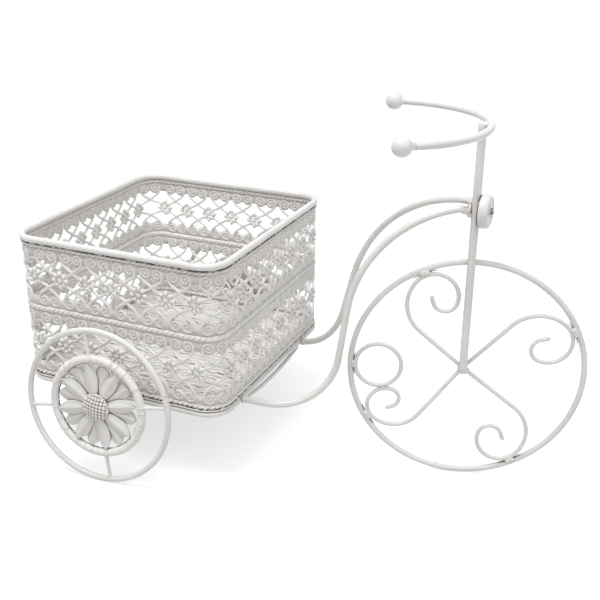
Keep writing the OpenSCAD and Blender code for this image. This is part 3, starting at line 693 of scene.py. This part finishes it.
basketFloor = {
    "top": 84.4, "low": 81.9, "groove": 1.9, "pitch": 6.4, "ridgePower": 0.8, "corner": 22,
    "rowsPerRib": 8, "columns": 90,
    "drifts": ((1.2, 0.045, 0.03, 0.4), (0.5, 0.16, 0.1, 3.1)),  # size, then scales and seed
    "depths": (0.5, 1.6, 0.03, 0.09, 7.3),  # least depth and its growth, then scales and seed
}


def ribHeight(x, y):
    drift = 0
    for size, along, across, seed in basketFloor["drifts"]:
        drift += size * softNoise(x * along, y * across, seed)
    ridge = abs(sin(pi * (y / basketFloor["pitch"] + drift)))
    least, growth, along, across, seed = basketFloor["depths"]
    depth = min(1, least + growth * abs(softNoise(x * along, y * across, seed)))
    return basketFloor["top"] - basketFloor["groove"] * depth * (1 - ridge ** basketFloor["ridgePower"])


def floorSheet():
    low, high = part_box("floor_plate")
    halfLong, halfWide = (high[0] - low[0]) / 2 / mm, (high[1] - low[1]) / 2 / mm
    corner, columns = basketFloor["corner"], basketFloor["columns"]
    rows = int(2 * halfWide / basketFloor["pitch"] * basketFloor["rowsPerRib"])
    top, under = [], []
    for y in np.linspace(-halfWide, halfWide, rows):
        beyond = max(0.0, abs(y) - halfWide + corner)
        reach = halfLong - corner + sqrt(max(corner ** 2 - beyond ** 2, 0))
        for x in np.linspace(-reach, reach, columns):
            top.append((x + basket["middle"], y, ribHeight(x, y)))
            under.append((x + basket["middle"], y, basketFloor["low"]))
    return closedSheet(top, under, rows, columns)


makePiece("basketFloor", floorSheet(), "base", floorPaint, ["floor_plate"])
print("basket floor made")


# Bowed stay and frame rods

bow = {"x": -44, "middle": -7, "half": 68, "drop": 5, "rod": 4, "endsHeight": 74.57, "steps": 40}
bowRadius = (bow["half"] ** 2 + bow["drop"] ** 2) / (2 * bow["drop"])
bowAngle = np.linspace(-1, 1, bow["steps"]) * asin(bow["half"] / bowRadius)
bowPath = np.stack([np.full(bow["steps"], bow["x"]), bow["middle"] + bowRadius * np.sin(bowAngle),
                    bow["endsHeight"] - bow["drop"] + bowRadius * (1 - np.cos(bowAngle))], 1)
makePiece("frontBow", tube(bowPath, bow["rod"] / 2, 12), "base", rodPaint, ["front_bow"])

head = {"x": 165, "y": -7.5, "height": 286.5, "gap": 0.1, "leftReach": 8.7, "leftTurn": 54}
leftSide, leftUp = head["leftReach"] * heading(head["leftTurn"])
frameRods = {  # the seat is where a rod meets the barrel, from the head: ahead, left and up
    "right": {"foot": -82, "low": 62, "high": 123, "leave": -10, "climb": 82, "arrive": 9,
              "seat": (-12.3, -1, 0)},
    "left": {"foot": 68, "low": 82, "high": 156, "leave": 15, "climb": 74, "arrive": 4,
             "seat": (-4.3, leftSide, leftUp)},
}
frameRodWidth, frameRodSink = 7.0, 1.6  # the sink takes each end into its weld
frameRodSwell = 0.03


def climbingRod(rod):
    root = basket["middle"] + basket["length"] / 2 + basket["baseRod"] / 2
    seatX, seatY, seatZ = np.add((head["x"], head["y"], head["height"]), rod["seat"])
    slant = atan2(abs(seatY - rod["foot"]), seatX - root)
    footX = root + frameRodWidth / 2 * sin(slant) + head["gap"]
    tilt = cos(radians(rod["arrive"])) * cos(slant)
    room = frameRodWidth / 2 * sqrt(1 - tilt ** 2) + head["gap"]
    ahead, across = seatX - room - footX, seatY - rod["foot"]
    run = hypot(ahead, across)
    leave, climb, arrive = (heading(rod[k]) for k in ("leave", "climb", "arrive"))
    bends = rod["low"] * (climb - leave) - rod["high"] * (arrive - climb)
    left = np.array([run - bends[1], seatZ - basket["baseHeight"] + bends[0]])
    first, second = np.linalg.solve(np.stack([leave, climb], 1), left)
    flat = turtle(rod["leave"], [
        ("line", first), ("bend", rod["low"], rod["climb"] - rod["leave"]),
        ("line", second), ("bend", rod["high"], rod["arrive"] - rod["climb"])], spacing=2.5)
    path = np.stack([footX + flat[:, 0] * ahead / run, rod["foot"] + flat[:, 0] * across / run,
                     basket["baseHeight"] + flat[:, 1]], 1)
    path[0] -= unit(path[1] - path[0]) * frameRodSink
    path[-1] += unit(path[-1] - path[-2]) * frameRodSink
    return path


for side, rod in frameRods.items():
    rodPiece("frameRod_" + side, "frame_rod_" + side, "base", climbingRod(rod), frameRodWidth,
             frameRodSwell, seed=rod["low"], rounded=False)
print("frame rods made")


# Front assembly, in its own steered frame

front = {
    "steer": 16.7, "wheel": 115, "rod": 6, "height": 118, "ahead": 3.2, "hubRise": 3.4,
    "ringSide": 7.1, "scrollSide": 6.1, "scrollWire": 4, "wireSeen": 4.4, "gap": 0.1,
    "shoulder": 37, "curl": 23, "hook": 12, "turns": (89, 159, 146), "tail": 6, "tab": 1.2,
    "smallRing": 23, "swell": 0.035, "wireSwell": 0.05,
    "scrolls": {"upper_rear": (140, 1), "upper_front": (47.5, 1),
                "lower_front": (-37.5, 1), "lower_rear": (234, 0.85)},
}
steerMatrix = Matrix.Translation((head["x"], head["y"], 0)) @ turnAbout("Z", front["steer"])
wheelAcross = np.subtract(*moved([(0, 1, 0), (0, 0, 0)], steerMatrix))


def wheelPoints(flat, side):
    flat = np.asarray(flat, float)
    return moved(np.stack([flat[:, 0] + front["ahead"], np.full(len(flat), side),
                           flat[:, 1] + front["height"]], 1), steerMatrix)


rodPiece("frontRing", "front_ring", "front", wheelPoints(circle(front["wheel"], 200), front["ringSide"]),
         front["rod"], front["swell"], seed=2, closed=True, up=wheelAcross)

hub = np.array([-front["ahead"], front["hubRise"]])
ringInside = front["wheel"] - front["rod"] / 2


def curlOffset(angle, size):
    return (size * front["shoulder"] * heading(angle - 90)
            + size * (front["shoulder"] - front["curl"]) * heading(angle + 90 - front["turns"][0]))


def straightLength(angle, size):
    start = hub + curlOffset(angle, size)
    ahead = float(np.dot(start, heading(angle)))
    reach = ringInside - front["tab"] - front["scrollWire"] / 2 - size * front["curl"]
    return sqrt(reach ** 2 - float(np.dot(start, start)) + ahead ** 2) - ahead


def curlMiddle(angle, size):
    return hub + straightLength(angle, size) * heading(angle) + curlOffset(angle, size)


for scrollName, (angle, size) in front["scrolls"].items():
    bends = [("bend", size * front[part], -turn)
             for part, turn in zip(("shoulder", "curl", "hook"), front["turns"])]
    flat = turtle(angle, [("line", straightLength(angle, size)), *bends, ("line", size * front["tail"])],
                  spacing=1.3)
    path = wheelPoints(flat + hub, front["scrollSide"])
    rodPiece("scroll_" + scrollName, "scroll_" + scrollName, "front", path, front["wireSeen"],
             front["wireSwell"], seed=angle, sides=14, up=wheelAcross)

# the small ring stands against the big one and the lower rear curl
smallOut = ringInside - front["gap"] - front["scrollWire"] / 2 - front["smallRing"]
lowerRear = front["scrolls"]["lower_rear"]
curlPlace = curlMiddle(*lowerRear)
curlOut = float(np.linalg.norm(curlPlace))
apart = lowerRear[1] * front["curl"] + front["smallRing"] + front["scrollWire"] + 2 * front["gap"]
between = acos((smallOut ** 2 + curlOut ** 2 - apart ** 2) / (2 * smallOut * curlOut))
smallTurn = degrees(atan2(curlPlace[1], curlPlace[0]) - between)
smallCentre = smallOut * heading(smallTurn)
smallPath = wheelPoints(circle(front["smallRing"], 90, smallCentre), front["scrollSide"])
rodPiece("smallRing", "small_ring_wire", "front", smallPath, front["wireSeen"], front["wireSwell"],
         seed=5, sides=14, closed=True, up=wheelAcross)

post = {"rod": 8, "lowEnd": 120.2, "low": 121, "high": 368.5, "rounded": 0.7, "swell": 0.02}
postLevels = np.r_[post["lowEnd"], np.linspace(post["low"], post["high"] - post["rounded"], 60),
                   post["high"]]
postPath = moved([(0, 0, z) for z in postLevels], steerMatrix)
postRadius = uneven(postPath, post["rod"] / 2, post["swell"], seed=9)
postRadius[[0, -1]] -= post["rounded"]
makePiece("steeringPost", tube(postPath, postRadius, 20, rounded=False), "front", rodPaint, ["post"])

handlebar = {
    "height": 365, "rod": 7, "bend": 96, "half": 76, "turn": -5, "shift": 8.4, "swell": 0.03,
    "ball": 18, "neck": 9.0, "ballOut": 11.03,
    "collar": ((0, 0.1), (3.45, 0.1), (3.55, 1.1), (3.8, 2.1), (4.15, 2.8)),  # radius and level
}
barAhead = post["rod"] / 2 + handlebar["rod"] / 2 + front["gap"] - handlebar["bend"]
barMatrix = (steerMatrix @ turnAbout("Z", handlebar["turn"])
             @ Matrix.Translation((barAhead, 0, handlebar["height"])) @ turnAbout("Z", handlebar["shift"]))
barTurns = np.radians(np.linspace(-handlebar["half"], handlebar["half"], 120))
barPath = handlebar["bend"] * np.stack([np.cos(barTurns), np.sin(barTurns), 0 * barTurns], 1)
rodPiece("handlebar", "handlebar", "front", moved(barPath, barMatrix), handlebar["rod"],
         handlebar["swell"], seed=4, up=straightUp, rounded=False)

# ball ends: the rod flares into the ball
ballRadius, neckTurn = handlebar["ball"] / 2, asin(handlebar["neck"] / handlebar["ball"])
ballProfile = [*handlebar["collar"]]
ballProfile += [(ballRadius * sin(a), handlebar["ballOut"] - ballRadius * cos(a))
                for a in np.linspace(neckTurn, pi, 30)[:-1]]
ballProfile.append((0, handlebar["ballOut"] + ballRadius))
for sideName, sign in (("left", 1), ("right", -1)):
    place = (barMatrix @ turnAbout("Z", sign * handlebar["half"])
             @ Matrix.Translation((handlebar["bend"], 0, 0)) @ turnAbout("X", -90 * sign))
    makePiece("ballEnd_" + sideName, placed(lathe(ballProfile, 40), place), "front", rodPaint,
              ["ball_" + sideName])
print("front assembly made")


# Lamp

lamp = {
    "radius": 16, "depth": 9.4, "back": 4.4, "boss": 5.2, "bore": 2.1,
    # the section: how far in from the edge, or out from the boss, and at what level
    "edge": ((2.2, 0), (1.0, 0.35), (0.3, 1.1), (0, 2.4), (0, 5.6), (0.25, 7.2), (0.8, 8.6),
             (1.6, 9.25), (2.2, 9.4), (2.9, 9.2), (3.5, 8.7)),
    "middle": ((1.2, 8.7), (0.3, 9.25), (-0.4, 9.4)),
    # a thin dark ring that shows as a dark line behind the disc, painted shade in the gap between disc and
    # post: radius and level
    "gapShadeRing": ((13.4, -0.38), (15.0, -0.38), (15.0, -0.04), (13.4, -0.04), (13.4, -0.38)),
}
lampProfile = [(lamp["bore"], 0)]
lampProfile += [(lamp["radius"] - inset, level) for inset, level in lamp["edge"]]
lampProfile += [(lamp["boss"] + more, level) for more, level in lamp["middle"]]
lampProfile += [(lamp["bore"], lamp["depth"]), (lamp["bore"], 0)]
lampPlace = (Matrix.Translation((head["x"] + lamp["back"], head["y"], head["height"]))
             @ turnAbout("Y", 90))
makePiece("lampDisc", placed(lathe(lampProfile, 64), lampPlace), "base", rodPaint, ["lamp_disc"])
makePiece("lampGapShade", placed(lathe(lamp["gapShadeRing"], 48), lampPlace), "base", shadeAndBrokenPaint)


# Rear wheels

rearWheel = {
    "back": 166, "rootOut": 130.22, "rootHeight": 79.67, "camber": 5, "toe": 2.3, "axle": 29,
    "radius": 79.5, "rod": 6, "swell": 0.035, "wrapped": 50, "wrappedRod": 8,
    "spoke": 3.6, "spokeTurn": 9.5, "spokeEnds": (3.0, 2.0), "daisyTurn": 12.5, "backTurn": 22.5,
    "seam": 0.6, "shadeLineInset": 0.35, "shadeLineLevel": -0.3,
}


def wheelMatrix(sign):
    place = Matrix.Translation((-rearWheel["back"], sign * rearWheel["rootOut"],
                                rearWheel["rootHeight"]))
    if sign > 0:
        place = place @ Matrix.Scale(-1, 4, (0, 1, 0))
    return (place @ turnAbout("X", 90 - rearWheel["camber"]) @ turnAbout("Y", rearWheel["toe"])
            @ Matrix.Translation((0, 0, rearWheel["axle"])))


grooves = {  # the turns are where a fine groove crosses the ring, in degrees from straight ahead
    "turns": (119, 117, 109.5, 96.4, 94.6, 85.6, 69.9, 68, 62, 50.3, 30.8, 29, 8.5, 1.8, -8.9, -12,
              -17, -30.6, -32.5, -39.6, -49.7, -53.8, -58.6, -63.1, -74.3, -75.7, -89.1, -95.7, -97,
              -107.3, -118.2, -138.2, -154, -171.5, 177.5, 168, 156.7, 155, 149.2, 138.5, 136.5,
              129.3, 127),
    "width": 0.42, "depth": 0.8, "lip": 0.4, "lipShift": 2.6, "plump": 1.05, "swell": 0.03,
    "swellScale": 5, "steps": 1440,
}


def wrappedRing():
    turns = np.linspace(0, 360, grooves["steps"], endpoint=False)
    dip, lip = np.zeros(len(turns)), np.zeros(len(turns))
    for groove in grooves["turns"]:
        away = ((turns - groove + 180) % 360 - 180) / grooves["width"]
        dip += np.exp(-away ** 2)
        lip += np.exp(-(away - grooves["lipShift"]) ** 2)
    swell = np.array([softNoise(*(grooves["swellScale"] * heading(t)), 1.0) for t in turns])
    radius = rearWheel["wrappedRod"] / 2 * (grooves["plump"] + grooves["swell"] * swell)
    radius += grooves["lip"] * np.minimum(lip, 1) - grooves["depth"] * np.minimum(dip, 1)
    return tube(levelRing(rearWheel["wrapped"], len(turns)), radius, 14, closed=True, up=straightUp)


petal = {
    "root": 8.5, "rootWidth": 0.28, "tipTurn": 0.985, "sheet": 1.1, "crease": 22, "rows": 22,
    "columns": 13, "rim": 1.3, "rimFrom": 0.66, "rimHalf": 3, "wobble": 1.8, "widths": (0.96, 1.04),
}
petalLayers = {  # the back layer is broader and blunter
    "front": {"width": 14.6, "tip": 45.9, "lift": 2.3, "cup": 0.9, "widest": 0.55, "blunt": 1.25},
    "back": {"width": 13.6, "tip": 44.8, "lift": 0.0, "cup": 0.5, "widest": 0.74, "blunt": 1.5},
}


def petalHalf(layer, t):
    widest = layer["widest"]
    if t < widest:
        share = petal["rootWidth"] + (1 - petal["rootWidth"]) * sin(pi / 2 * t / widest)
    else:
        share = cos(pi / 2 * petal["tipTurn"] * ((t - widest) / (1 - widest)) ** layer["blunt"])
    return layer["width"] / 2 * share


def daisyPetal(layer):  # a leaf folded along its middle, with a fine raised edge
    rows, columns = petal["rows"], petal["columns"]
    slope = tan(radians(petal["crease"]))
    top, under = [], []
    for t in np.arange(rows) / (rows - 1):
        half = petalHalf(layer, t)
        reach = petal["root"] + (layer["tip"] - petal["root"]) * t
        for j in range(columns):
            v = -1 + 2 * j / (columns - 1)
            across = v * half
            fold = -abs(across) * slope + layer["cup"] * sin(pi * t) * (1 - v * v)
            edge = max(0.0, (abs(v) - petal["rimFrom"]) / (1 - petal["rimFrom"]))
            rim = petal["rim"] * edge * min(1.0, half / petal["rimHalf"])
            top.append((reach, across, layer["lift"] + petal["sheet"] + fold + rim))
            under.append((reach, across, layer["lift"] + fold))
    return closedSheet(top, under, rows, columns)


def daisyLayer(count, turn, layer):
    parts = []
    for k in range(count):
        wobble = random.uniform(-petal["wobble"], petal["wobble"])
        width = layer["width"] * random.uniform(*petal["widths"])
        parts.append(placed(daisyPetal(dict(layer, width=width)),
                            turnAbout("Z", turn + wobble + 360 * k / count)))
    return joinParts(parts)


seedHead = {
    "base": 3.4, "radius": 15.2, "height": 4.6, "turn": -8, "domeInset": 0.4, "domeSunk": 1.1,
    "domeLeast": 0.2, "bead": 1.78, "beadSunk": 0.1, "pitch": 3.4, "room": 0.8, "sizes": (0.92, 1.04),
    "edgePitch": 2.9, "edgeInset": 1.3, "edgeBead": 1.2, "edgeLevel": 1.0,
}


def domeLevel(radius):
    sphere = (seedHead["radius"] ** 2 + seedHead["height"] ** 2) / (2 * seedHead["height"])
    return sqrt(sphere ** 2 - radius ** 2) - (sphere - seedHead["height"])


def seedDome():  # low dome under rows of small beads
    base, bead = seedHead["base"], seedHead["bead"]
    dome = [(0, base)]
    for radius in np.linspace(seedHead["radius"] - seedHead["domeInset"], 0, 14):
        dome.append((radius, base + max(domeLevel(radius) - seedHead["domeSunk"], seedHead["domeLeast"])))
    parts = [lathe(dome, 36)]
    steps = int(seedHead["radius"] / seedHead["pitch"]) + 1
    for i in range(-steps, steps + 1):
        for j in range(-steps, steps + 1):
            x, y = i * seedHead["pitch"], j * seedHead["pitch"]
            radius = hypot(x, y)
            if radius > seedHead["radius"] - bead * seedHead["room"]:
                continue
            size = bead * random.uniform(*seedHead["sizes"])
            parts.append(ball((x, y, base + domeLevel(radius) - seedHead["beadSunk"]), [size] * 3, 6, 8))
    edge = int(2 * pi * seedHead["radius"] / seedHead["edgePitch"])
    for x, y in circle(seedHead["radius"] - seedHead["edgeInset"], edge):
        parts.append(ball((x, y, base + seedHead["edgeLevel"]), [seedHead["edgeBead"]] * 3))
    return placed(joinParts(parts), turnAbout("Z", seedHead["turn"]))


def wheelSpokes():
    inner, outer = rearWheel["spokeEnds"]
    reach = np.linspace(rearWheel["wrapped"] + inner, rearWheel["radius"] - outer, 8)
    spokes = []
    for k in range(4):
        x, y = heading(90 * k + rearWheel["spokeTurn"])
        stub = np.stack([reach * x, reach * y, 0 * reach], 1)
        spokes.append(tube(stub, rearWheel["spoke"] / 2, 12, rounded=False))
    return joinParts(spokes)


for sideName, sign in (("left", 1), ("right", -1)):
    ring = levelRing(rearWheel["radius"], 180)
    ringRadius = uneven(ring, rearWheel["rod"] / 2, rearWheel["swell"], seed=8)
    # a thin dark ring just inside the wrapped ring: painted shade in the gap between the ring and the
    # petal tips
    shadeLineRadius = rearWheel["wrapped"] - rearWheel["wrappedRod"] / 2 - rearWheel["shadeLineInset"]
    seam = levelRing(shadeLineRadius, 120, rearWheel["shadeLineLevel"])
    backTurn = rearWheel["daisyTurn"] + rearWheel["backTurn"]
    wheelPieces = [
        ("wheelRing", tube(ring, ringRadius, 18, True, up=straightUp), rodPaint, "wheel_ring"),
        ("wrappedRing", wrappedRing(), lacePaint, "wrapped_ring"),
        ("wrapShadeLine", tube(seam, rearWheel["seam"], 8, True, up=straightUp), shadeAndBrokenPaint, None),
        ("spokes", wheelSpokes(), rodPaint, "wheel_spokes"),
        ("petalsFront", daisyLayer(8, rearWheel["daisyTurn"], petalLayers["front"]), petalPaint,
         "petals_front"),
        ("petalsBack", daisyLayer(8, backTurn, petalLayers["back"]), petalPaint, "petals_back"),
        ("seedHead", seedDome(), seedPaint, "seeds"),
    ]
    for pieceName, part, material, node in wheelPieces:
        makePiece(pieceName + "_" + sideName, placed(part, wheelMatrix(sign)), "wheel_" + sideName,
                  material, [node + "_" + sideName] if node else [])
print("rear wheels made")


# Weld lumps: each has a place, a size and its flatness along three directions

welds = {
    "scroll": {"shifts": (-2.2, 0.0, 2.2), "out": 0.1, "side": 4.9, "size": 2.9,
               "flat": (1.1, 0.85, 1.1)},
    "smallRing": {"shifts": (-1.6, 1.2), "out": 0, "side": 4.9, "size": 2.4, "flat": (1, 0.9, 1.1)},
    # from the hub: ahead, up and to the left
    "hub": [((0, 0, 4.2), 4.0, (1.05, 0.8, 1.0)), ((3.6, -0.6, 2.6), 3.0, (1.1, 0.8, 0.9)),
            ((-3.2, 0.4, 2.0), 2.7, (0.9, 0.8, 1.1)), ((0.4, -1.2, 0.4), 3.9, (1.05, 0.9, 0.8))],
    "touch": {"out": 2.0, "side": 6.1, "size": 2.0, "flat": (1.6, 1, 0.8)},
    # the same from where the post crosses the ring
    "ringTop": [((0, 0, 3.8), 2.6, (1.2, 1, 1.5)), ((2.6, -1.5, 4.4), 1.8, (1, 1, 1))],
    # from the post's middle line: ahead, left and height
    "handlebar": [((3.4, -0.6, 366.6), 3.3, (1.25, 1, 0.8)), ((3.6, 2.0, 363.0), 3.1, (1, 1, 1.3)),
                  ((2.2, -2.6, 361.8), 2.4, (1.3, 0.9, 0.8)), ((4.2, -1.0, 359.8), 2.3, (1, 1, 0.9))],
    # from a frame rod's foot and from its seat
    "foot": [((1.2, 0, 1.6), 2.6, (1, 1.5, 1)), ((1.0, 0, -1.8), 2.4, (1, 1.4, 1))],
    "seat": [((-1.0, -1.2, -0.8), 3.2, (1.2, 1, 1))],
    "barrel": [((-5.2, -2.5, -4.2), 2.3, (1.2, 1, 1)), ((-9.0, -3.0, 3.6), 2.2, (1.5, 1, 1))],
    "bow": {"ahead": 0.5, "inset": 2, "up": 1.4, "size": 2.0, "flat": (1, 1.6, 1)},
    "spoke": {"ends": ((54.6, 1.9), (76.2, 2.1)), "level": 0.4, "flat": (1.1, 1, 1.1)},
}
sliver = {"from": 2.2, "to": 6.4, "steps": 12, "inset": 0.35, "bend": 0.014, "side": 6.1,
          "radii": (0.6, 0.3)}


def lumps(name, spots, body):
    parts = [weldLump(centre, size, k + 1, flat) for k, (centre, size, flat) in enumerate(spots)]
    makePiece(name, joinParts(parts), body, rodPaint)


def inWheel(place, side):
    return wheelPoints([place], side)[0]


def wheelSpots(middle, spots):
    return [(inWheel(middle + np.array(place[:2]), place[2]), size, flat) for place, size, flat in spots]


def shifted(origin, spots):
    return [(np.add(origin, place), size, flat) for place, size, flat in spots]


def ringSpots(weld, turn):
    places = [(ringInside + weld["out"]) * heading(turn) + shift * heading(turn + 90)
              for shift in weld["shifts"]]
    return [(inWheel(place, weld["side"]), weld["size"], weld["flat"]) for place in places]


frontSpots, sliverTurns = [], [smallTurn]
for angle, size in front["scrolls"].values():
    middle = curlMiddle(angle, size)
    turn = degrees(atan2(middle[1], middle[0]))
    sliverTurns.append(turn)
    frontSpots += ringSpots(welds["scroll"], turn)
frontSpots += wheelSpots(hub, welds["hub"])
frontSpots += ringSpots(welds["smallRing"], smallTurn)
touch = welds["touch"]
touchPlace = smallCentre + unit(curlPlace - smallCentre) * (front["smallRing"] + touch["out"])
frontSpots.append((inWheel(touchPlace, touch["side"]), touch["size"], touch["flat"]))
ringTop = sqrt(front["wheel"] ** 2 - front["ahead"] ** 2)
frontSpots += wheelSpots(np.array([-front["ahead"], ringTop]), welds["ringTop"])
frontSpots += [(moved([place], steerMatrix)[0], size, flat) for place, size, flat in welds["handlebar"]]
lumps("weldsFront", frontSpots, "front")

slivers = []  # bare iron and painted shade in the crevice on both sides of each weld between ring and scroll
for turn in sliverTurns:
    for hand in (-1, 1):
        sweep = hand * np.linspace(sliver["from"], sliver["to"], sliver["steps"])
        arc = [(ringInside - sliver["inset"] - sliver["bend"] * a * a) * heading(turn + a) for a in sweep]
        slivers.append(tube(wheelPoints(arc, sliver["side"]),
                            np.linspace(*sliver["radii"], sliver["steps"]), 8, up=wheelAcross))
makePiece("shadedBareSlivers", joinParts(slivers), "front", bareIronAndShade)

baseSpots = []
for rod in frameRods.values():
    path = climbingRod(rod)
    baseSpots += shifted(path[0], welds["foot"]) + shifted(path[-1], welds["seat"])
baseSpots += shifted((head["x"], head["y"], head["height"]), welds["barrel"])
bowWeld = welds["bow"]
for hand in (-1, 1):
    aside = bow["middle"] + hand * (bow["half"] - bowWeld["inset"])
    baseSpots.append(((bow["x"] + bowWeld["ahead"], aside, bow["endsHeight"] + bowWeld["up"]),
                      bowWeld["size"], bowWeld["flat"]))
lumps("weldsBase", baseSpots, "base")

for sideName, sign in (("left", 1), ("right", -1)):
    spots = []
    for k in range(4):
        for reach, size in welds["spoke"]["ends"]:
            x, y = reach * heading(90 * k + rearWheel["spokeTurn"])
            centre = moved([(x, y, welds["spoke"]["level"])], wheelMatrix(sign))[0]
            spots.append((centre, size, welds["spoke"]["flat"]))
    lumps("welds_" + sideName, spots, "wheel_" + sideName)
print("welds made")


# CAD pieces that keep their own shape

paintedNodes = ["lace_spacers", "floor_bars", "head_barrel", "axle_left", "axle_right", "scroll_tabs",
                "hub_left", "hub_right"]
for nodeName in paintedNodes + ["lamp_screw", "axle_cap_left", "axle_cap_right"]:
    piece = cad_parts[nodeName]
    material = rodPaint if nodeName in paintedNodes else screwSteel
    piece.data.materials.clear()
    piece.data.materials.append(material)
for nodeName in ["floor_bars", "head_barrel", "axle_left", "axle_right", "hub_left", "hub_right"]:
    smoothShaded(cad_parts[nodeName].data)


# Floor, backdrop, light and camera

studio = {
    "floorSize": 60.0, "floorLevel": -0.0002, "floorColour": (0.62, 0.612, 0.605), "floorGlow": 0.66,
    "horizon": 0.20, "zenith": 0.78, "brightRise": (0.15, 0.9), "warm": (1.0, 0.95, 0.90),
    "white": (1.0, 1.0, 1.0), "warmRise": (0.0, 0.7), "aim": (0, 0, 0.15),
}
softLights = {
    "keyLight": {"place": (-0.35, -0.5, 2.05), "power": 21, "size": 0.8},
    "fillLight": {"place": (1.5, -0.9, 1.3), "power": 6, "size": 1.0},
}


def seenDirectly(tree):  # 1 for the camera's rays and for what metal or gloss mirrors
    rays = tree.nodes.new("ShaderNodeLightPath")
    seen = mathNode(tree, "ADD", rays.outputs["Is Camera Ray"], rays.outputs["Is Glossy Ray"])
    return mathNode(tree, "ADD", seen, rays.outputs["Is Transmission Ray"], clamp=True)


def studioFloor():
    bpy.ops.mesh.primitive_plane_add(size=studio["floorSize"], location=(0, 0, studio["floorLevel"]))
    floor = bpy.context.object
    floor.name = "studioFloor"
    material = bpy.data.materials.new("studioFloor")
    tree = emptyTree(material)
    matte = addNode(tree, "ShaderNodeBsdfDiffuse", {"Color": (*studio["floorColour"], 1)})
    strength = mathNode(tree, "MULTIPLY", seenDirectly(tree), studio["floorGlow"])
    glow = addNode(tree, "ShaderNodeEmission", {"Strength": strength})
    both = addNode(tree, "ShaderNodeAddShader", {0: matte.outputs[0], 1: glow.outputs[0]})
    addNode(tree, "ShaderNodeOutputMaterial", {"Surface": both.outputs[0]})
    floor.data.materials.append(material)


def studioSky():
    world = bpy.data.worlds.new("studioSky")
    bpy.context.scene.world = world
    tree = emptyTree(world)
    seen = addNode(tree, "ShaderNodeBackground", {"Color": (*studio["white"], 1), "Strength": 1.0})
    aim = tree.nodes.new("ShaderNodeTexCoord")
    rise = addNode(tree, "ShaderNodeSeparateXYZ", {0: aim.outputs["Generated"]}).outputs["Z"]
    strength = spread(tree, rise, *studio["brightRise"], studio["horizon"], studio["zenith"])
    tint = mixColour(tree, spread(tree, rise, *studio["warmRise"]), studio["warm"], studio["white"])
    soft = addNode(tree, "ShaderNodeBackground", {"Color": tint, "Strength": strength})
    choose = addNode(tree, "ShaderNodeMixShader",
                     {0: seenDirectly(tree), 1: soft.outputs[0], 2: seen.outputs[0]})
    addNode(tree, "ShaderNodeOutputWorld", {"Surface": choose.outputs[0]})


def softLight(name, look):
    light = bpy.data.lights.new(name, "AREA")
    light.energy = look["power"]
    light.size = look["size"]
    lampObject = addObject(name, light)
    lampObject.location = look["place"]
    aim = Vector(studio["aim"]) - Vector(look["place"])
    lampObject.rotation_euler = aim.to_track_quat("-Z", "Y").to_euler()


studioFloor()
studioSky()
for lightName, look in softLights.items():
    softLight(lightName, look)

view = {"place": (349.97, -842.25, 551.36), "turn": 23.392, "tilt": 22.974, "roll": 0.428,
        "focal": 950, "picture": 600, "sensor": 36, "near": 0.05, "far": 20}
turn, tilt, roll = (radians(view[k]) for k in ("turn", "tilt", "roll"))
backward = Vector((sin(turn) * cos(tilt), -cos(turn) * cos(tilt), sin(tilt)))
level = Vector((cos(turn), sin(turn), 0))
rightward = level * cos(roll) + backward.cross(level) * sin(roll)
upward = backward.cross(rightward)
camera = bpy.data.cameras.new("camera")
camera.sensor_width = view["sensor"]
camera.lens = view["focal"] / view["picture"] * view["sensor"]
camera.clip_start, camera.clip_end = view["near"], view["far"]
cameraObject = addObject("camera", camera)
cameraTurn = Matrix((rightward, upward, backward)).transposed().to_4x4()
cameraObject.matrix_world = Matrix.Translation(Vector(view["place"]) * mm) @ cameraTurn
bpy.context.scene.camera = cameraObject
bpy.context.scene.view_settings.view_transform = "Standard"
print("studio made")
